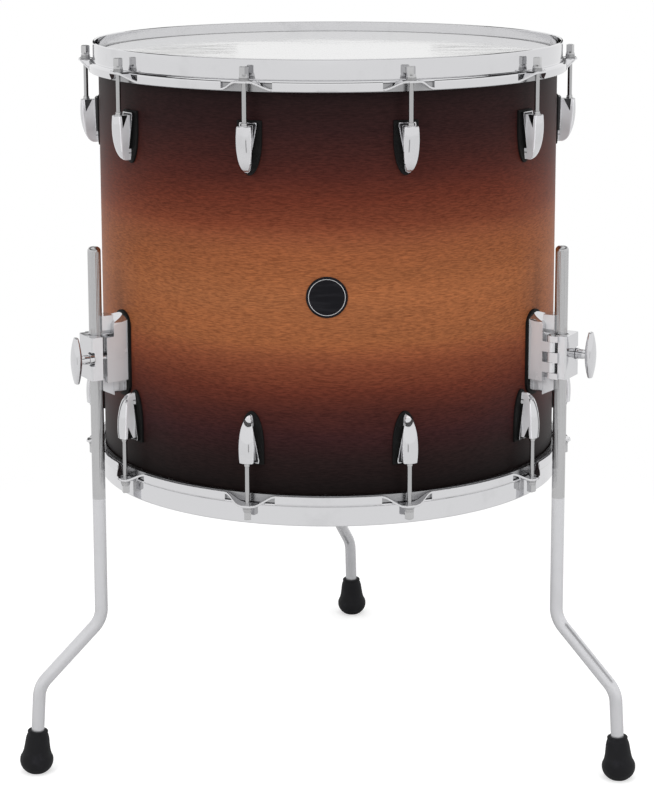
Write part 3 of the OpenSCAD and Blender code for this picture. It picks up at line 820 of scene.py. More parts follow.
@dataclass(frozen=True)
class Enamel:
    """Smooth black enamel."""

    name: str = "badge_enamel"
    tint: Colour = (0.006, 0.006, 0.008)
    wiped: Colour = (0.014, 0.014, 0.017)
    wave: float = 0.00006
    wave_strength: float = 0.4
    waves: Pattern = Pattern(70.0)
    wipes: Pattern = Pattern(1.0, 3.0, stretch=(40.0, 1.0, 300.0))
    wiping: Point2 = (0.45, 0.8)
    roughness: float = 0.30
    wipe_rough: float = 0.12
    specular: float = 0.10

    def make(self) -> bpy.types.Material:
        """Makes the material: a deep black with fine wiping marks."""
        graph, place = start(self.name)
        wipes = graph.noise(place, self.wipes)
        return graph.surface(
            {
                "Base Color": graph.blend(self.tint, self.wiped, wipes.between(*self.wiping)),
                "Roughness": self.roughness + wipes * self.wipe_rough,
                "Specular IOR Level": self.specular,
                "Normal": graph.bump(graph.noise(place, self.waves), self.wave, self.wave_strength),
            }
        )


@dataclass(frozen=True)
class Plated:
    """Duller plain metal: zinc plate, nickelled brass or bare aluminium."""

    name: str
    tint: Colour
    roughness: float = 0.3
    clouding: float = 0.72
    turning: float = 0.00002
    turning_strength: float = 0.5
    clouds: Pattern = Pattern(90.0, 4.0, 0.6)
    cloud_rough: float = 0.12
    marks: Pattern = Pattern(1.0, stretch=(60.0, 60.0, 2400.0))
    mark_rough: float = 0.08

    def make(self) -> bpy.types.Material:
        """Makes the material: a cloudy metal with fine turning marks."""
        graph, place = start(self.name)
        clouds, marks = graph.noise(place, self.clouds), graph.noise(place, self.marks)
        return graph.surface(
            {
                "Base Color": graph.blend(self.tint, toned(self.tint, self.clouding), clouds),
                "Metallic": 1.0,
                "Roughness": self.roughness + clouds * self.cloud_rough + marks * self.mark_rough,
                "Normal": graph.bump(marks, self.turning, self.turning_strength),
            }
        )


def once(finish: Chrome | Burst | Film | Rubber | Enamel | Plated) -> bpy.types.Material:
    """A dataclass field that holds a finish's material, made with the dataclass."""
    return field(default_factory=finish.make)


@dataclass
class Finishes:
    """All the materials, each made once."""

    veneer: bpy.types.Material = once(Burst())
    film: bpy.types.Material = once(Film())
    hoop: bpy.types.Material = once(Chrome("hoop_chrome", (0.70, 0.70, 0.715)))
    casting: bpy.types.Material = once(
        Chrome("cast_chrome", (0.66, 0.66, 0.675), 0.07, smudge=0.06, ripple=0.00002, metal=0.94)
    )
    # A lighter, nearly matt copy of the cast chrome for the lugs' sides: a painted highlight that stands
    # in for the bright reflection there.
    satin: bpy.types.Material = once(
        Chrome("cast_painted_highlight", (0.90, 0.90, 0.93), 0.22, smudge=0.06, metal=0.12)
    )
    # A lighter, duller copy of the chrome for the brackets' faces that look along the girth: a painted
    # highlight.
    bracket: bpy.types.Material = once(
        Chrome("bracket_painted_highlight", (0.76, 0.76, 0.78), 0.22, smudge=0.06, metal=0.16)
    )
    # A near-black copy of the cast chrome for the lugs' flange bodies and notch floors: painted shade and
    # a painted dark reflection.
    recess: bpy.types.Material = once(
        Chrome("cast_painted_shade", (0.035, 0.035, 0.037), 0.2, smudge=0.06, metal=0.8)
    )
    rod: bpy.types.Material = once(Chrome("rod_chrome", (0.46, 0.46, 0.465), 0.09, smudge=0.08))
    leg: bpy.types.Material = once(Chrome("leg_chrome", (0.66, 0.66, 0.68), 0.18, smudge=0.06, metal=0.6))
    # A darker chrome on the legs' flutes, painted groove shade, and a chrome lighter than the rods' own on
    # their heads and collars, a painted highlight.
    flutes: bpy.types.Material = once(Chrome("flute_shade_and_head_highlight", (0.52, 0.52, 0.525), 0.14, smudge=0.08))
    gasket: bpy.types.Material = once(Rubber("gasket_black", (0.004, 0.004, 0.004), 0.6))
    rubber: bpy.types.Material = once(Rubber("foot_rubber"))
    enamel: bpy.types.Material = once(Enamel())
    zinc: bpy.types.Material = once(Plated("zinc_plate", (0.42, 0.43, 0.45)))
    nickel: bpy.types.Material = once(Plated("bright_nickel", (0.60, 0.60, 0.605), 0.14))
    ring: bpy.types.Material = once(Plated("bright_flesh_hoop", (0.42, 0.42, 0.43), 0.16))


# The drum's own measures --------------------------------------------------------------------


class End(Enum):
    """The two ends of the drum."""

    TOP = "top"
    BOTTOM = "bottom"


class Side(Enum):
    """The three brackets, with each one's azimuth and its leg's turn out of the radial direction."""

    LEFT = ("left", -60.0, -21.5)
    RIGHT = ("right", 60.0, 5.3)
    BACK = ("back", 180.0, -24.0)

    @property
    def word(self) -> str:
        """The name that the side's nodes end in."""
        return self.value[0]

    @property
    def turn(self) -> Matrix:
        """The turn that carries a fitting from the front to this bracket."""
        return azimuth(self.value[1])


@dataclass(frozen=True)
class Layout:
    """Sizes that several sub-assemblies share, in millimetres."""

    shell_r: float = 228.6
    low_z: float = 291.6
    edge_z: float = 703.6
    rim_z: float = 714.4
    flange_z: float = 695.4
    rod_r: float = 242.6
    mouth_z: float = 653.9
    bracket_z: float = 419.8
    leg_r: float = 258.3
    lugs: int = 10

    @property
    def mid_z(self) -> float:
        """The height of the shell's middle."""
        return (self.low_z + self.edge_z) / 2

    def at_end(self, end: End) -> Matrix:
        """The move that carries what was made for the upper end to an end of the drum.

        Args:
            end: the end.

        Returns:
            The move.
        """
        if end is End.TOP:
            return Matrix.Identity(4)
        return Matrix.Translation((0.0, 0.0, 2.0 * self.mid_z)) @ Matrix.Rotation(math.pi, 4, "X")

    def lug_turn(self, index: int, end: End = End.TOP) -> Matrix:
        """The turn to a lug's azimuth, before at_end turns the lower end's pieces over."""
        angle = (index - 0.5) * 360.0 / self.lugs
        return azimuth(angle if end is End.TOP else 180.0 - angle)

    def at_lugs(self, form: Form, end: End) -> Form:
        """Copies a form, made at the front, to all the lugs of one end of the drum.

        Args:
            form: the form.
            end: the end.

        Returns:
            All the copies as one form.
        """
        every = Form()
        for i in range(1, self.lugs + 1):
            every.add(form, self.at_end(end) @ self.lug_turn(i))
        return every


PLAN = Layout()


# Sub-assemblies -----------------------------------------------------------------------------


@dataclass
class Shell:
    """The veneered shell, its badge and its air vent."""

    finishes: Finishes
    wall: float = 7.0
    edge_soft: float = 2.4
    seat: float = 0.02
    badge_r: float = 19.2
    badge_t: float = 1.2
    badge_soft: float = 0.45
    badge_at: Point2 = (-1.0, -1.0)
    ring_r: float = 16.8
    ring_wire: float = 0.38
    ring_sink: float = 0.3
    groove: Point2 = (0.5, 0.4)
    groove_deep: float = 0.25
    vent_azimuth: float = 144.0
    vent_r: float = 3.5
    vent_pipe: float = 1.4
    vent_brim: float = 3.6
    vent_deep: float = 8.2
    vent_high: float = 0.6
    vent_roll: float = 0.5

    def build(self) -> None:
        """Makes the shell, the badge and the vent."""
        self.build_wall()
        self.build_badge()
        self.build_vent()

    def build_wall(self) -> None:
        """Makes the wooden wall with its two rounded-over bearing edges."""
        soft, inner, slope = self.edge_soft, PLAN.shell_r - self.wall, self.wall - self.edge_soft
        outer, top, low = PLAN.shell_r - soft, PLAN.edge_z, PLAN.low_z
        profile = [(inner, low + slope)] + arc(outer, low + soft, soft, 270, 360)
        profile += arc(outer, top - soft, soft, 0, 90) + [(inner, top - slope)]
        wall = Form().lathe(profile, ROUND_STEPS)
        wall.piece("shell_wall", self.finishes.veneer, "drum", "shell_wood", "shell")

    def on_wall(self, across: float, up: float, out: float, turn: Matrix) -> Vector:
        """A point that lies a distance out from the curved wall."""
        r = PLAN.shell_r
        return turn @ polar(across, math.sqrt(r * r - across * across) + out, PLAN.mid_z + up)

    def disc(
        self, profile: Sequence[Point2], turn: Matrix, at: Point2 = (0.0, 0.0), steps: int = 72
    ) -> Form:
        """Turns a profile of (radius, height) about a radial axis and lays it on the curved wall.

        Args:
            profile: the closed profile.
            turn: the turn from the front of the drum.
            at: the axis, from the middle of the wall there, across and up.
            steps: how many steps the turn has.

        Returns:
            The form.
        """
        rows = []
        for c, s in circle(steps):
            rows.append([self.on_wall(at[0] + p * c, at[1] + p * s, h, turn) for p, h in profile])
        return Form().grid(rows, loop_rows=True, loop_columns=True)

    def build_badge(self) -> None:
        """Makes the bare black badge and its thin bright ring."""
        r, t, soft, ring, front = self.badge_r, self.badge_t, self.badge_soft, self.ring_r, azimuth(0.0)
        brink, floor = self.groove
        deep = t - self.groove_deep
        plate = [(0.0, self.seat), (r, self.seat), (r, t - soft)] + arc(r - soft, t - soft, soft, 0, 90, 4)
        plate += [(ring + brink, t), (ring + floor, deep), (ring - floor, deep), (ring - brink, t)]
        plate.append((0.0, t))
        disc = self.disc(plate, front, self.badge_at)
        disc.piece("badge_plate", self.finishes.enamel, "drum", "badge_black", "badge")
        wire = self.disc(arc(ring, t - self.ring_sink, self.ring_wire, 0, 330, 11), front, self.badge_at)
        wire.piece("badge_ring", self.finishes.casting, "drum", "badge_black")

    def build_vent(self) -> None:
        """Makes the air vent's rolled grommet."""
        bore, high, roll = self.vent_r, self.vent_high, self.vent_roll
        pipe, brim = bore + self.vent_pipe, bore + self.vent_brim
        profile = [(bore, -self.vent_deep), (bore, high)] + arc(bore + roll, high, roll, 180, 90, 4)
        profile += arc(brim - high, roll, high, 90, 0, 4)
        profile += [(brim, self.seat), (pipe, self.seat), (pipe, -self.vent_deep)]
        ring = self.disc(profile, azimuth(self.vent_azimuth), steps=40)
        ring.piece("vent_ring", self.finishes.hoop, "drum", "bright_chrome", "vent_grommet")


@dataclass
class Head:
    """A drum head's film, stretched over the bearing edge and down to its hem."""

    finishes: Finishes
    thickness: float = 0.25
    gap: float = 0.2
    hem_z: float = 689.1
    hem_out: float = 232.7
    crown: float = 2.6

    def build(self, end: End) -> None:
        """Makes the film at one end of the drum.

        Args:
            end: the end.
        """
        collar, t = PLAN.shell_r + self.gap, self.thickness
        top, soft = PLAN.edge_z, self.crown
        under = arc(collar - soft, top - soft, soft, 90, 0)
        over = arc(collar - soft, top - soft, soft + t, 0, 90)
        profile = [(0.0, top)] + under + [(collar, self.hem_z), (self.hem_out, self.hem_z)]
        profile += [(self.hem_out, self.hem_z + t), (collar + t, self.hem_z + t)] + over + [(0.0, top + t)]
        film = Form().add(Form().lathe(profile, ROUND_STEPS), PLAN.at_end(end))
        film.piece(f"{end.value}_film", self.finishes.film, "drum", "head_film", f"{end.value}_head")


@dataclass
class Hoop:
    """A double-flanged steel hoop with an ear for every tension rod."""

    finishes: Finishes
    inner: float = 231.7
    steel: float = 2.3
    bend: float = 0.85
    skirt_h: float = 10.1
    lip: float = 0.6
    stub: float = 2.2
    stub_angle: float = 38.0
    tab: float = 6.0
    tab_flat: float = 4.0
    tab_corner: Point2 = (1.9, 1.5)
    reach: float = 25.0
    ear_out: float = 249.2
    ear_edge: Bevel = Bevel(0.55, 3, 40.0)
    seam: float = 0.4
    seam_r: float = 237.0
    lap: float = 0.05

    @property
    def wall_out(self) -> float:
        """The radius of the centres of the bends, just outside the upright wall."""
        return self.inner + self.steel + self.bend

    def section(self, cut: bool) -> list[Point2]:
        """The hoop's bent section as (radius, height).

        Args:
            cut: whether the skirt is left off, as it is behind an ear.

        Returns:
            The closed outline.
        """
        rim, flange, small, big = PLAN.rim_z, PLAN.flange_z, self.bend, self.bend + self.steel
        edge, x, lip, under = self.steel / 2, self.wall_out, self.lip, flange - self.steel
        outline = arc(self.inner + edge, rim - edge, edge, 180, 0)
        outline += arc(x, flange + small, small, 180, 270, 6)
        if cut:
            outline += arc(x, flange - big, big, 90, self.stub_angle, 5)
            outline += [(x + self.stub, under), (x, under)]
        else:
            low = flange - self.skirt_h
            outline += arc(x, flange - big, big, 90, 0)
            outline += arc(x + big - lip, low + lip, lip, 0, -90, 3)
            outline += arc(x + small + lip, low + lip, lip, -90, -180, 3)
            outline += arc(x, flange - big, small, 0, 90, 4)
        return outline + arc(x, flange + small, big, 270, 180)

    def ear(self) -> Form:
        """The tab for a rod, with its two sides sweeping down to the skirt's lower edge.

        Returns:
            One ear, at the front.
        """
        flange, drop, x, steps = PLAN.flange_z, self.skirt_h - self.steel, self.wall_out, 12
        skirt_in, skirt_out = x + self.bend, x + self.bend + self.steel
        sweep = [self.tab + (self.reach - self.tab) * i / steps for i in range(steps + 1)]
        middle = [self.tab_flat * i / 2 for i in range(-2, 3)]
        corner, nip = self.tab_corner
        rows = []
        for t in [-u for u in reversed(sweep)] + middle + sweep:
            k = max(0.0, (abs(t) - self.tab) / (self.reach - self.tab))
            done = k * k * (3.0 - 2.0 * k)
            z = flange - drop * done
            out = self.ear_out - (0.0 if abs(t) < self.tab - corner else nip)
            inside = math.sqrt(skirt_in**2 - t * t) if k else x
            outside = out + (math.sqrt(skirt_out**2 - t * t) - out) * done
            low = z - self.steel
            corners = ((inside, z), (outside, z), (outside, low), (inside, low))
            rows.append([polar(t, radius, height) for radius, height in corners])
        return Form().grid(rows, loop_columns=True, caps=True).rounded(self.ear_edge)

    def build(self, end: End) -> None:
        """Makes the hoop at one end of the drum.

        Args:
            end: the end.
        """
        half = math.degrees(math.asin((self.reach - self.seam) / self.seam_r))
        step = 360.0 / PLAN.lugs
        form, ear = Form(), self.ear()
        for i in range(PLAN.lugs):
            middle = (i + 0.5) * step
            form.lathe(self.section(True), 14, start=middle - half - self.lap, sweep=2 * (half + self.lap))
            form.lathe(self.section(False), 26, start=middle + half, sweep=step - 2 * half)
            form.add(ear, azimuth(middle))
        form = Form().add(form, PLAN.at_end(end))
        word, finish = end.value, self.finishes.hoop
        form.piece(f"{word}_rim_hoop", finish, "drum", "bright_chrome", f"{word}_hoop")


@dataclass
class Lug:
    """A bullet-shaped lug casting on its gasket, with the swivel nut in its mouth.

    A depth is measured down from the mouth, and a radius from the drum's axis.
    """

    finishes: Finishes
    length: float = 43.3
    half: float = 7.5
    tip_half: float = 0.05
    flare: float = 1.05
    swell: float = 13.0
    front: float = 248.9
    lean: float = 0.6
    lean_l: float = 11.0
    crown: float = 2.9
    round_r: float = 9.9
    arris: tuple[Point2, Point2] = ((0.0, 0.7), (0.06, 0.25))
    arris_share: float = 0.1
    front_in: float = 0.35
    front_share: float = 0.3
    seat: float = 230.8
    root: float = 4.6
    root_least: float = 2.0
    root_share: float = 0.4
    root_in: float = 0.01
    root_taper: Point2 = (8.1, 0.195)
    nose: float = 4.0
    plate_r: float = 233.5
    plate_half: Point2 = (8.0, 8.5)
    plate_up: float = 2.5
    plate_l: float = 42.3
    plate_core: float = 0.35
    plate_edge: float = 0.5
    plate_soft: Point2 = (0.08, 0.12)
    plate_in: float = 0.98
    recess_l: float = 0.6
    recess_in: Point2 = (0.90, 0.87)
    recess_down: Point2 = (0.75, 0.9)
    recess_lip: float = 0.2
    pad_half: float = 11.9
    pad_up: float = 4.2
    pad_l: float = 50.3
    pad_straight: float = 0.33
    pad_edge: Bevel = Bevel(0.4, 2, 50.0)
    fit: float = 0.02
    web: float = 4.5
    notch_r: tuple[float, float, float] = (236.3, 243.5, 242.4)
    notch_l: float = 12.0
    notch_rows: tuple[float, ...] = (0.0, 0.3, 1.0, 2.0, 4.0, 6.0, 8.0, 10.0, 11.9, 12.0)
    notch_gap: Point2 = (0.4, 0.3)
    mouth_in: float = 0.96
    mouth_back: float = 0.3
    mouth_band: float = 6.0
    neck_r: float = 3.3
    nut_bore: float = 2.56
    nut_in: float = 4.0
    nut_neck: Point2 = (0.9, 0.3)
    nut_cone: tuple[Point2, ...] = ((2.95, 1.25), (2.85, 3.0), (2.56, 3.2))

    def across(self, depth: float) -> float:
        """The column's half width at a depth below its mouth.

        Args:
            depth: the depth.

        Returns:
            Half the width.
        """
        if depth < self.swell:
            return self.half - self.flare * (1.0 - depth / self.swell) ** 2
        k = (depth - self.swell) / (self.length - self.swell)
        return max(self.tip_half, self.half * math.sqrt(max(0.0, 1.0 - k * k)))

    def reach(self, depth: float) -> float:
        """The radius of the column's front at a depth below its mouth.

        Args:
            depth: the depth.

        Returns:
            The radius.
        """
        if depth < self.lean_l:
            return self.front - self.lean + self.lean * math.sin(math.pi / 2 * depth / self.lean_l)
        k = (depth - self.lean_l) / (self.length - self.lean_l)
        low = self.seat + self.nose
        return low + (self.front - low) * math.sqrt(max(0.0, 1.0 - k * k))

    def bulge(self, across: float) -> float:
        """How far the column's rounded front falls away at a distance from its middle."""
        return self.round_r - math.sqrt(self.round_r**2 - across * across)

    def side(self, depth: float, radius: float) -> float:
        """The half width of the column at a depth and a radius, behind its front arrises.

        Args:
            depth: the depth.
            radius: the radius.

        Returns:
            Half the width.
        """
        arris = self.front - self.crown
        k = max(0.0, (radius - self.plate_r) / (arris - self.plate_r))
        return min(self.across(depth), self.root + (self.half - self.root) * k)

    def ring(self, depth: float) -> list[Point2]:
        """One half of the column's section at a depth, as (across, radius).

        Args:
            depth: the depth.

        Returns:
            The points, from the root outwards, the same number at every depth.
        """
        half, reach = self.across(depth), self.reach(depth)
        k = min(1.0, depth / self.notch_l)
        back, front, tip = self.notch_r
        back, front = back + (tip - back) * k, front + (tip - front) * k
        shoulder = reach - self.bulge(half)
        back, front = min(back, shoulder - self.notch_gap[0]), min(front, shoulder - self.notch_gap[1])
        tall, fall = self.root_taper
        root = min(self.root, half, max(min(self.root_least, half * self.root_share), tall - fall * depth))
        behind, ahead = self.side(depth, back), self.side(depth, front)
        floor = (self.web, self.web) if depth < self.notch_l else (behind, ahead)
        points = [(root, self.seat), (root, self.plate_r - self.root_in), (behind, back)]
        points += [(floor[0], back), (floor[1], front), (ahead, front)]
        for inset, drop in self.arris:
            points.append((half - min(inset, half * self.arris_share), max(front, shoulder - drop)))
        wide = half - min(self.front_in, half * self.front_share)
        for i in range(9):
            u = wide * math.cos(math.pi / 2 * i / 8) if i < 8 else 0.0
            points.append((u, reach - self.bulge(u)))
        return [(u, min(r, reach)) for u, r in points]

    def column(self) -> Form:
        """The casting's column, with a notch along each side of its mouth.

        Returns:
            The column, with its sides and level faces in a lighter, duller chrome that paints a highlight,
            and its notch floors near-black, painted shade.
        """
        deep = self.notch_l
        below = [deep + (self.length - deep) * math.sin(math.pi / 2 * i / 20) for i in range(1, 21)]
        rows = []
        for depth in [*self.notch_rows, *below]:
            side = self.ring(depth)
            whole = side + [(-u, r) for u, r in reversed(side[:-1])]
            rows.append([polar(u, r, PLAN.mouth_z - depth) for u, r in whole])
        band = self.mouth_band - self.front
        for point in rows[0]:
            point.x *= self.mouth_in
            point.y += self.mouth_back if point.y < band else 0.0
        # The sides and level faces take the lighter chrome, a painted highlight.
        form = Form().grid(rows, loop_columns=True, caps=True).painted(1, (True, False, True))
        # The notch floors take the near-black chrome, painted shade.
        for i, face in enumerate(form.faces):
            floor = [j for j in face if abs(abs(form.points[j].x) - self.web) < NEAR]
            if len(floor) >= 2 and form.points[face[0]].z > PLAN.mouth_z - deep - NEAR:
                form.paints[i] = 2
        return form

    def plate(self) -> Form:
        """The casting's flange, which narrows to a point behind the column.

        Returns:
            The flange, with its body near-black, painted shade, and a bright rim.
        """
        high, wide = self.plate_half
        top = [(high * k / 4, self.plate_up) for k in range(-4, 5)]
        side = [(wide * (1.0 - k / 6), -self.plate_l * k / 6) for k in range(6)]
        outline = top + side + [(0.0, -self.plate_l)] + [(-u, v) for u, v in reversed(side)]

        def place(across: float, height: float, radius: float) -> Vector:
            """Lays a point on the gasket's curve, or on the flat front."""
            bend = radius - math.sqrt(radius * radius - across * across) if radius == self.seat else 0.0
            return polar(across, radius - bend, PLAN.mouth_z + height)

        def inset(share: float, down: float, low: float) -> list[Point2]:
            """The outline drawn in from its sides and its top, and cut off at a height."""
            return [(u * share, min(max(v, low), self.plate_up - down)) for u, v in outline]

        body = Form().prism(outline, self.seat, self.plate_r - self.plate_core, place)
        # The flange's whole body takes the near-black chrome, painted shade, so that only its rim shows
        # bright.
        body.paints = [2] * len(body.faces)
        low = -self.recess_l * self.plate_l
        lip = inset(self.recess_in[0], self.recess_down[0], low - self.recess_lip)
        inner = inset(self.recess_in[1], self.recess_down[1], low)
        rows = []
        for sunk, edge in (
            (self.plate_edge, outline),
            (self.plate_soft[0], outline),
            (0.0, [(u * self.plate_in, v - NEAR) for u, v in outline]),
            (0.0, lip),
            (self.plate_soft[1], inner),
            (self.plate_edge, inner),
        ):
            rows.append([polar(u, self.plate_r - sunk, PLAN.mouth_z + v) for u, v in edge])
        return body.grid(rows, loop_rows=True, loop_columns=True)

    def pad(self) -> Form:
        """The gasket, a bullet outline that follows the shell on both faces.

        Returns:
            The gasket.
        """
        top, straight = PLAN.mouth_z + self.pad_up, self.pad_l * self.pad_straight
        edge = [(self.pad_half, top), (self.pad_half, top - straight)]
        for i in range(1, 21):
            c, s = unit(90.0 * i / 20)
            edge.append((self.pad_half * c, top - straight - (self.pad_l - straight) * s))
        outline = edge + [(-u, v) for u, v in reversed(edge[:-1])]
        outline += [(self.pad_half * k / 4, top) for k in range(-3, 4)]

        def place(across: float, height: float, radius: float) -> Vector:
            """Lays a point on the shell's curve."""
            return polar(across, math.sqrt(radius * radius - across * across), height)

        pad = Form().prism(outline, PLAN.shell_r + self.fit, self.seat - self.fit, place)
        return pad.rounded(self.pad_edge)

    def nut(self) -> Form:
        """The swivel nut's neck and cone, which show at the lug's mouth.

        Returns:
            The neck and the cone.
        """
        r, (high, soft) = self.neck_r, self.nut_neck
        profile = [(self.nut_bore, -self.nut_in), (r, -self.nut_in), (r, high)]
        profile += arc(r - soft, high, soft, 20, 90, 3) + list(self.nut_cone)
        axis = Matrix.Translation(polar(0.0, PLAN.rod_r, PLAN.mouth_z))
        return Form().add(Form().lathe(profile, 36), axis)

    def build(self, end: End) -> None:
        """Makes the lugs, gaskets and nuts at one end of the drum.

        Args:
            end: the end.
        """
        word, f = end.value, self.finishes
        casting = Form().add(self.plate()).add(self.column())
        for form, name, finish, slot, node, others in (
            (casting, "lug_castings", f.casting, "cast_chrome", "lugs", (f.satin, f.recess)),
            (self.pad(), "lug_pads", f.gasket, "gasket_rubber", "lug_gaskets", ()),
            (self.nut(), "nut_collars", f.nickel, "nut_brass", "swivel_nuts", ()),
        ):
            PLAN.at_lugs(form, end).piece(f"{word}_{name}", finish, "drum", slot, f"{word}_{node}", others)


@dataclass
class TensionRods:
    """The square-headed tension rods and the washers under their collars.

    A head's rows are each a depth below its top, an inset of its sides and a corner's radius.
    """

    finishes: Finishes
    half: float = 3.175
    shank: float = 2.25
    top_z: float = 708.1
    seat_z: float = 697.65
    head_rows: tuple[tuple[float, float, float], ...] = (
        (7.85, 0.0, 0.45),
        (0.75, 0.0, 0.45),
        (0.25, 0.28, 0.6),
        (0.0, 0.85, 0.9),
    )
    collar_h: float = 3.5
    collar_r: float = 4.6
    collar_edge: float = 0.7
    collar_cone: tuple[Point2, Point2] = ((1.24, 0.9), (1.15, 0.0))
    end_z: float = 629.9
    end_cut: Point2 = (0.5, 0.6)
    washer_h: float = 1.1
    washer_r: Point2 = (5.1, 4.7)
    bore: float = 2.55
    soft: float = 0.3
    head_turn: float = 52.0

    def head(self) -> Form:
        """The square head with its top corners turned down to a cone.

        Returns:
            The head, about the Z axis.
        """
        rows = []
        for depth, inset, corner in self.head_rows:
            ring, middle = [], self.half - inset - corner
            for quarter in range(4):
                turn = Matrix.Rotation(math.pi / 2 * quarter, 3, "Z")
                for u, v in arc(middle, middle, corner, 0, 90, 4):
                    ring.append(turn @ Vector((u, v, self.top_z - depth)))
            rows.append(ring)
        return Form().grid(rows, loop_columns=True, caps=True)

    def rod(self) -> Form:
        """A whole rod about the Z axis: shank, collar and head.

        Returns:
            The rod, with its collar and head in the second finish, a lighter chrome than the shank's that
            paints a highlight.
        """
        seat, top, end = self.seat_z, self.seat_z + self.collar_h, self.end_z
        cut, cut_h = self.end_cut
        profile = [(0.0, end), (self.shank - cut, end), (self.shank, end + cut_h), (self.shank, seat)]
        profile += arc(self.collar_r - self.soft, seat + self.soft, self.soft, -90, 0, 3)
        profile.append((self.collar_r, seat + self.collar_edge))
        profile += [(self.half * share, top - down) for share, down in self.collar_cone] + [(0.0, top)]
        form = Form().lathe(profile, 40).add(self.head())
        # The collar and head take the lighter chrome, a painted highlight.
        for i, face in enumerate(form.faces):
            form.paints[i] = 1 if max(form.points[j].z for j in face) > seat + NEAR else 0
        return form

    def washers(self) -> Form:
        """The two washers under a rod's collar.

        Returns:
            Both, about the Z axis.
        """
        form, soft = Form(), self.soft
        for k, radius in enumerate(self.washer_r):
            low = PLAN.flange_z + k * self.washer_h
            high, x = low + self.washer_h, radius - soft
            edge = arc(x, low + soft, soft, -90, 0, 3) + arc(x, high - soft, soft, 0, 90, 3)
            form.lathe([(self.bore, low)] + edge + [(self.bore, high)], 36)
        return form

    def build(self, end: End) -> None:
        """Makes the rods and washers at one end of the drum.

        Args:
            end: the end.
        """
        word, rod, f = end.value, self.rod(), self.finishes
        at_rod = Matrix.Translation(polar(0.0, PLAN.rod_r, 0.0))
        for i in range(1, PLAN.lugs + 1):
            spin = Matrix.Rotation(math.radians((i * self.head_turn) % 90.0), 4, "Z")
            form = Form().add(rod, PLAN.at_end(end) @ PLAN.lug_turn(i, end) @ at_rod @ spin)
            body, node = f"{word}_tension_rod_{i}", f"{word}_rod_{i}"
            form.piece(f"{word}_tuning_rod_{i}", f.rod, body, "rod_steel", node, (f.flutes,))
        washers = PLAN.at_lugs(Form().add(self.washers(), at_rod), end)
        washers.piece(f"{word}_washers", f.rod, "drum", "rod_steel", f"{word}_rod_washers")


@dataclass
class Bracket:
    """A leg bracket: cast base, hinged gate, hinge pin and wing screw.

    The castings' edge and weld are in metres, as the frame's own nodes are.
    """

    finishes: Finishes
    edge: Bevel = Bevel(0.0006, 3, 28.0)
    weld: float = 2e-6
    flat: float = 0.7
    screw_x: float = 12.5
    screw_r: float = 2.5
    tip_in: float = 249.55
    tip_cut: Point2 = (0.4, 0.5)
    hub_r: float = 5.55
    hub_in: float = 267.05
    hub_edge: float = 0.4
    hub_h: Point2 = (4.6, 5.4)
    neck_in: tuple[float, float, float] = (0.9, 1.2, 1.9)
    neck_edge: float = 0.3
    neck_h: float = 3.5
    wing_r: float = 284.3
    wing_half: float = 22.45
    wing_w: Point2 = (7.2, 2.9)
    wing_t: Point2 = (4.55, 1.9)
    wing_power: Point2 = (0.62, 0.8)
    wing_root: float = 0.6
    wing_edge: Bevel = Bevel(0.5, 2, 60.0)

    def softened(self, node: str, name: str, body: str, side: Side) -> None:
        """Makes a casting from a node of the frame, with its flat faces whole and its edges rounded.

        Args:
            node: the node to start from.
            name: the piece's name.
            body: the body that it rides on.
            side: the side that it is on.
        """
        made = bmesh.new()
        made.from_mesh(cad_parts[node].data)
        bmesh.ops.remove_doubles(made, verts=made.verts, dist=self.weld)
        flat = math.radians(self.flat)
        bmesh.ops.dissolve_limit(made, angle_limit=flat, verts=made.verts, edges=made.edges)
        # Faces that look along the girth take the lighter chrome, a painted highlight.
        girth = side.turn @ Vector((1.0, 0.0, 0.0))
        for face in made.faces:
            face.material_index = 1 if abs(face.normal.dot(girth)) > SQUARE_ON else 0
        round_edges(made, self.edge)
        others = (self.finishes.bracket,)
        finish_piece(made, name, self.finishes.casting, body, "cast_chrome", node, others)

    def bar(self) -> Form:
        """The wing screw's lens-shaped bar.

        Returns:
            The bar, about the height of its screw.
        """
        rows, steps = [], 28
        for i in range(steps + 1):
            k = -1.0 + 2.0 * i / steps
            fill = 1.0 - k * k
            wide, thick = (least + (most - least) * fill for most, least in (self.wing_w, self.wing_t))
            ring = []
            for u, v in circle(32):
                x = wide * math.copysign(abs(u) ** self.wing_power[0], u)
                y = thick * math.copysign(abs(v) ** self.wing_power[1], v)
                ring.append(polar(self.screw_x + x, self.wing_r + y, self.wing_half * k))
            rows.append(ring)
        return Form().grid(rows, loop_columns=True, caps=True).rounded(self.wing_edge)

    def wing(self) -> Form:
        """The whole wing screw: its bar on a stepped hub, and its shank.

        Returns:
            The screw, about the height of its axis.
        """
        r, h, tip, edge = self.screw_r, self.hub_r, self.tip_in, self.hub_edge
        start, stop = self.hub_in, self.wing_r - self.wing_t[0] + self.wing_root
        (cut, cut_l), (step, top), (neck, mid, end) = self.tip_cut, self.hub_h, self.neck_in
        profile = [(0.0, tip), (r - cut, tip), (r, tip + cut_l), (r, start)]
        profile += arc(h - edge, start + edge, edge, -90, 0, 3)
        profile += arc(h - edge, start + step, edge, 0, 90, 3)
        profile += [(h - neck, start + top)] + arc(h - mid, stop - self.neck_h, self.neck_edge, 0, 60, 3)
        profile += [(h - end, stop), (0.0, stop)]
        rows = [[polar(self.screw_x + p * c, out, p * s) for p, out in profile] for c, s in circle(48)]
        return self.bar().grid(rows, loop_rows=True, loop_columns=True)

    def build(self, side: Side) -> None:
        """Makes the bracket on one side.

        Args:
            side: the side.
        """
        word, f = side.word, self.finishes
        self.softened(f"bracket_base_{word}", f"bracket_{word}", "drum", side)
        self.softened(f"bracket_gate_{word}", f"clamp_gate_{word}", f"gate_{word}", side)
        wing = Form().add(self.wing(), side.turn @ Matrix.Translation((0.0, 0.0, PLAN.bracket_z)))
        wing.piece(f"clamp_wing_{word}", f.casting, f"wing_{word}", "cast_chrome", f"wing_screw_{word}")
        dress(f"hinge_pin_{word}", f.rod)


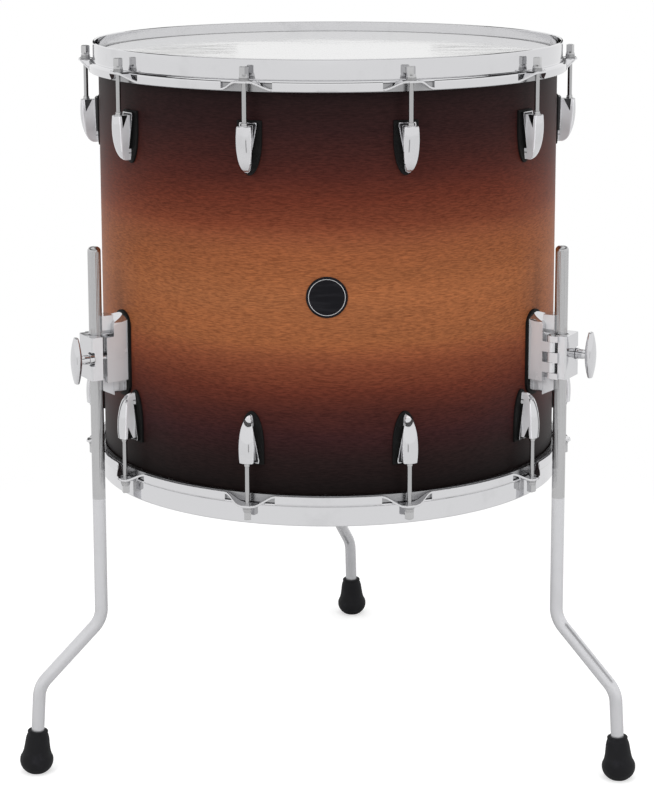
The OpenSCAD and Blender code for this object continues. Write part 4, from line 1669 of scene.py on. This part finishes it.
@dataclass
class Leg:
    """A bent steel leg with lengthwise flutes on its upper part, and its rubber foot."""

    finishes: Finishes
    radius: float = 6.35
    top_z: float = 526.4
    dome: float = 4.0
    flute_z: float = 277.4
    flutes: int = 26
    flute_depth: float = 0.28
    flute_fade: Point2 = (1.5, 3.0)
    flute_gap: float = 4.0
    flute_power: float = 1.5
    bend_r: float = 28.0
    high: float = 154.4
    low: float = 88.0
    reach: float = 62.1
    lean: float = 3.5
    end_z: float = 9.1
    foot_r: float = 16.4
    foot_mid: float = 12.1
    foot_under: float = 14.2
    foot_h: float = 43.1
    shoulder_r: float = 8.0
    shoulder_up: float = 1.0
    shoulder_arc: Point2 = (4.0, 36.0)
    waist_r: tuple[float, ...] = (14.6, 13.7, 13.1, 12.7, 12.3, 11.9, 11.6, 11.0, 10.2, 9.8)
    waist_z: tuple[float, ...] = (18.4, 21.0, 23.6, 26.0, 28.8, 31.8, 34.4, 37.0, 39.2, 40.4)
    lip_r: float = 8.5
    lip_soft: float = 1.7
    socket: tuple[Point2, ...] = ((0.4, 0.0), (0.02, 0.5), (0.02, 6.0))

    def at_leg(self, side: Side) -> Matrix:
        """The move from the leg's own frame, upright on Z with its reach along +X, to a bracket."""
        turn = Matrix.Rotation(math.radians(-90.0 + side.value[2]), 4, "Z")
        return side.turn @ Matrix.Translation((0.0, -PLAN.leg_r, 0.0)) @ turn

    def path(self) -> list[Point3]:
        """The rod's centre line below its flutes, as (x, z, lean).

        Returns:
            The points, from the top down.
        """
        slant, lean = math.atan2(self.reach, self.high - self.low), math.radians(self.lean)
        r, steps = self.bend_r, 12
        top = self.high + r * math.tan(slant / 2)
        cut = r * math.tan((slant - lean) / 2)
        start = (self.reach - cut * math.sin(slant), self.low + cut * math.cos(slant))
        centre = (start[0] - r * math.cos(slant), start[1] - r * math.sin(slant))
        line = [(0.0, self.flute_z - self.flute_gap, 0.0)]
        for i in range(steps + 1):
            a = slant * i / steps
            line.append((r - r * math.cos(a), top - r * math.sin(a), a))
        for i in range(steps + 1):
            a = slant + (lean - slant) * i / steps
            line.append((centre[0] + r * math.cos(a), centre[1] + r * math.sin(a), a))
        x, z, _ = line[-1]
        return line + [(x + (z - self.end_z) * math.tan(lean), self.end_z, lean)]

    def rod(self) -> Form:
        """The whole rod, from its domed and fluted top to its lower end.

        Returns:
            The rod, upright, with its flutes in the second finish, a darker chrome that paints the
            grooves' shade.
        """
        around, r, dome = circle(self.flutes * 6), self.radius, self.top_z - self.dome
        levels = [(self.top_z, 0.0, 0.0), (self.top_z, r - self.dome, 0.0)]
        levels += [(z, p, 0.0) for p, z in arc(r - self.dome, dome, self.dome, 80, 0, 7)]
        above, below = self.flute_fade
        levels += [(dome - above, r, self.flute_depth), (self.flute_z + below, r, self.flute_depth)]
        rows = []
        for z, radius, deep in levels + [(self.flute_z, r, 0.0)]:
            ring = []
            for j, (c, s) in enumerate(around):
                wave = 0.5 - 0.5 * math.cos(2.0 * math.pi * j * self.flutes / len(around))
                out = radius - deep * wave**self.flute_power
                ring.append(Vector((out * c, out * s, z)))
            rows.append(ring)
        for x, z, a in self.path():
            tilt = (r * math.cos(a), r * math.sin(a))
            rows.append([Vector((x + tilt[0] * c, r * s, z + tilt[1] * c)) for c, s in around])
        form = Form().grid(rows, loop_columns=True, caps=True)
        # The fluted part takes the darker chrome, painted groove shade.
        for i, face in enumerate(form.faces):
            form.paints[i] = 1 if min(form.points[j].z for j in face) > self.flute_z - NEAR else 0
        return form

    def foot(self) -> Form:
        """The moulded rubber foot, cut flat where it stands.

        Returns:
            The foot, under the upright rod.
        """
        big, mid, under, rim = self.foot_r, self.foot_mid, self.foot_under, self.foot_h
        profile = [(0.0, mid - under)]
        profile += [(big * c, mid + under * s) for c, s in (unit(a) for a in range(-80, 1, 5))]
        shoulder = (big - self.shoulder_r, mid + self.shoulder_up, self.shoulder_r)
        profile += arc(*shoulder, *self.shoulder_arc, 8)[:-1]
        profile += zip(self.waist_r, self.waist_z)
        profile += arc(self.lip_r, rim - self.lip_soft, self.lip_soft, 15, 90, 5)
        profile += [(self.radius + gap, rim - down) for gap, down in self.socket]
        profile.append((0.0, rim - self.socket[-1][1]))
        out = self.reach + self.low * math.tan(math.radians(self.lean))
        tilt = Matrix.Translation((out, 0.0, 0.0)) @ Matrix.Rotation(math.radians(-self.lean), 4, "Y")
        form = Form().add(Form().lathe(profile, 64), tilt)
        for point in form.points:
            point.z = max(point.z, 0.0)
        return form

    def build(self, side: Side) -> None:
        """Makes the leg and the foot on one side.

        Args:
            side: the side.
        """
        word, body, f, at = side.word, f"leg_assembly_{side.word}", self.finishes, self.at_leg(side)
        rod, foot = Form().add(self.rod(), at), Form().add(self.foot(), at)
        rod.piece(f"bent_leg_{word}", f.leg, body, "leg_chrome", f"leg_{word}", (f.flutes,))
        foot.piece(f"rubber_foot_{word}", f.rubber, body, "foot_rubber", f"foot_{word}")


@dataclass
class Hardware:
    """The plainer pieces of the frame, which keep their own shape and take a finish."""

    finishes: Finishes

    def build(self) -> None:
        """Gives each of them its material."""
        f = self.finishes
        for node in ("lug_screws", "lug_screw_washers", "bracket_screws", "bracket_screw_washers"):
            dress(node, f.zinc)
        dress("bracket_gaskets", f.gasket)
        for end in End:
            dress(f"{end.value}_flesh_hoop", f.ring)


# Studio -------------------------------------------------------------------------------------


@dataclass
class Studio:
    """The floor, the soft light, the dark flags that metal needs and the camera, in metres.

    A back flag has a side, a shade and how far its wedge is stretched across. The low flag's fan is
    (half its width, depth, height), the canopy is (radius, height), and a lamp has its name, its
    place, its size and its power.
    """

    eye: Point3 = (0.0024, -2.1628, 0.8890)
    yaw: float = -0.00165
    pitch: float = 0.1694
    roll: float = -0.0022
    lens: float = 97.3
    sensor: float = 36.0
    shift_y: float = -0.2114
    aim: Point3 = (0.0, 0.0, 0.45)
    surround: float = 0.62
    floor_half: float = 9.0
    floor_tint: Colour = (0.80, 0.80, 0.80)
    floor_mottle: Pattern = Pattern(300.0)
    floor_shading: float = 0.975
    floor_lift: float = 0.50
    floor_seen: float = 0.92
    floor_fade: Point2 = (0.35, 1.0)
    back_y: float = 3.0
    backs: tuple[tuple[str, float, float], ...] = (("left", 0.03, -1.0), ("right", 0.12, 1.1))
    wedge_x: tuple[float, ...] = (0.22, 0.53, 0.62, 1.4, 1.4, 0.45, 0.22)
    wedge_z: tuple[float, ...] = (0.925, 0.975, 1.2, 1.2, 0.6, 0.6, 0.90)
    fan: tuple[Point3, ...] = ((0.13, -1.5, 0.01), (0.42, -4.5, 0.01), (0.42, -4.5, 0.12))
    fan_shade: float = 0.40
    canopy: tuple[Point2, ...] = ((5.6, 3.9), (3.6, 4.6))
    canopy_shade: float = 0.04
    lamps: tuple[tuple[str, Point3, float, float], ...] = (
        ("key", (-1.7, -2.3, 2.3), 1.6, 26.0),
        ("fill", (1.9, -2.2, 1.7), 1.6, 20.0),
        ("top", (0.0, -0.2, 2.8), 1.8, 16.0),
    )

    def camera(self) -> None:
        """Makes the camera."""
        level = math.cos(self.pitch)
        forward = Vector((math.sin(self.yaw) * level, math.cos(self.yaw) * level, -math.sin(self.pitch)))
        right = forward.cross(Vector((0.0, 0.0, 1.0))).normalized()
        up = right.cross(forward)
        c, s = math.cos(self.roll), math.sin(self.roll)
        right, up = right * c + up * s, up * c - right * s
        data = bpy.data.cameras.new("studio_camera")
        data.lens, data.sensor_width, data.shift_y = self.lens, self.sensor, self.shift_y
        camera = bpy.data.objects.new("studio_camera", data)
        bpy.context.scene.collection.objects.link(camera)
        turn = Matrix((right, up, -forward)).transposed().to_4x4()
        camera.matrix_world = Matrix.Translation(self.eye) @ turn
        bpy.context.scene.camera = camera

    def world(self) -> None:
        """Makes the surroundings: white behind the drum and a soft even light elsewhere."""
        world = bpy.data.worlds.new("studio")
        bpy.context.scene.world = world
        graph = Graph(world)
        seen, glossy, through = graph.rays()
        soft, white = (
            graph.node("ShaderNodeBackground", {}, {"Color": WHITE, "Strength": strength})
            for strength in (self.surround, 1.0)
        )
        graph.end(graph.either((seen + glossy + through).clipped(), soft, white))

    def card(
        self,
        name: str,
        points: Sequence[Vector],
        faces: Sequence[tuple[int, ...]],
        finish: bpy.types.Material,
        seen: bool = False,
    ) -> None:
        """Adds a sheet to the studio.

        Args:
            name: the sheet's name.
            points: its points in metres.
            faces: its faces.
            finish: its material.
            seen: whether the camera and the drum see it, and not only reflections.
        """
        data = bpy.data.meshes.new(name)
        data.from_pydata([tuple(p) for p in points], [], faces)
        data.materials.append(finish)
        card = bpy.data.objects.new(name, data)
        bpy.context.scene.collection.objects.link(card)
        card.visible_camera = card.visible_diffuse = card.visible_shadow = card.visible_transmission = seen

    def floor(self) -> None:
        """Makes the pale floor, which is white to the camera but keeps the drum's shadow."""
        graph, place = start("studio_floor")
        seen, glossy, _ = graph.rays()
        across, depth, _ = graph.parts(place)
        far = ((across * across + depth * depth) ** 0.5).between(*self.floor_fade)
        darker = toned(self.floor_tint, self.floor_shading)
        shade = graph.blend(self.floor_tint, darker, graph.noise(place, self.floor_mottle))
        paper = graph.node("ShaderNodeBsdfDiffuse", {}, {"Color": shade})
        lifted = graph.node("ShaderNodeAddShader", {}, {0: paper, 1: graph.glow(1.0, self.floor_lift)})
        near = graph.either(seen, paper, lifted)
        sheet = graph.either(glossy, graph.glow(1.0), graph.glow(1.0, self.floor_seen))
        finish = graph.end(graph.either(far * (seen + glossy).clipped(), near, sheet))
        half = self.floor_half
        ways = ((-1.0, -1.0), (1.0, -1.0), (1.0, 1.0), (-1.0, 1.0))
        corners = [Vector((half * x, half * y, 0.0)) for x, y in ways]
        self.card("studio_floor", corners, [(0, 1, 2, 3)], finish, seen=True)

    def lamp(self, name: str, spot: Point3, size: float, power: float) -> None:
        """Adds a soft box that faces the middle of the drum.

        Args:
            name: the lamp's name.
            spot: where it stands.
            size: its width and height.
            power: its power in watts.
        """
        data = bpy.data.lights.new(name, "AREA")
        data.shape, data.size, data.size_y, data.energy = "RECTANGLE", size, size, power
        lamp = bpy.data.objects.new(name, data)
        bpy.context.scene.collection.objects.link(lamp)
        lamp.rotation_euler = (Vector(self.aim) - Vector(spot)).to_track_quat("-Z", "Y").to_euler()
        lamp.location = spot
        lamp.visible_glossy = False

    def flag(
        self, name: str, points: Sequence[Vector], faces: Sequence[tuple[int, ...]], shade: float
    ) -> None:
        """Adds a dark card that only shows in reflections.

        Args:
            name: the card's name.
            points: its points in metres.
            faces: its faces.
            shade: how light it is.
        """
        graph = Graph(bpy.data.materials.new(name))
        self.card(name, points, faces, graph.end(graph.glow(shade)))

    def flags(self) -> None:
        """Adds the dark cards: two behind the drum, one low in front of it and one all round above."""
        for word, shade, way in self.backs:
            points = [Vector((x * way, self.back_y, z)) for x, z in zip(self.wedge_x, self.wedge_z)]
            self.flag(f"flag_back_{word}", points, [tuple(range(len(points)))], shade)
        points = [Vector((x * way, y, z)) for x, y, z in self.fan for way in (-1.0, 1.0)]
        self.flag("flag_low", points, [(0, 1, 3, 2), (2, 3, 5, 4)], self.fan_shade)
        above = Form().lathe(self.canopy, 48, closed=False)
        self.flag("flag_above", above.points, above.faces, self.canopy_shade)

    def build(self) -> None:
        """Makes the whole studio."""
        bpy.context.scene.view_settings.view_transform = "Standard"
        self.camera()
        self.world()
        self.floor()
        for lamp in self.lamps:
            self.lamp(*lamp)
        self.flags()


def report_sizes() -> None:
    """Logs a line saying that no sizes are reported.
    """
    log.info("sizes written")


def main() -> None:
    """Builds every sub-assembly in order; each of their pieces is reported as it is finished."""
    logging.basicConfig(level=logging.INFO)
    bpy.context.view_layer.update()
    finishes = Finishes()
    Studio().build()
    log.info("studio made")
    Shell(finishes).build()
    for end in End:
        for assembly in (Head, Hoop, Lug, TensionRods):
            assembly(finishes).build(end)
    for side in Side:
        for assembly in (Bracket, Leg):
            assembly(finishes).build(side)
    Hardware(finishes).build()
    report_sizes()


if __name__ == "__main__":
    main()
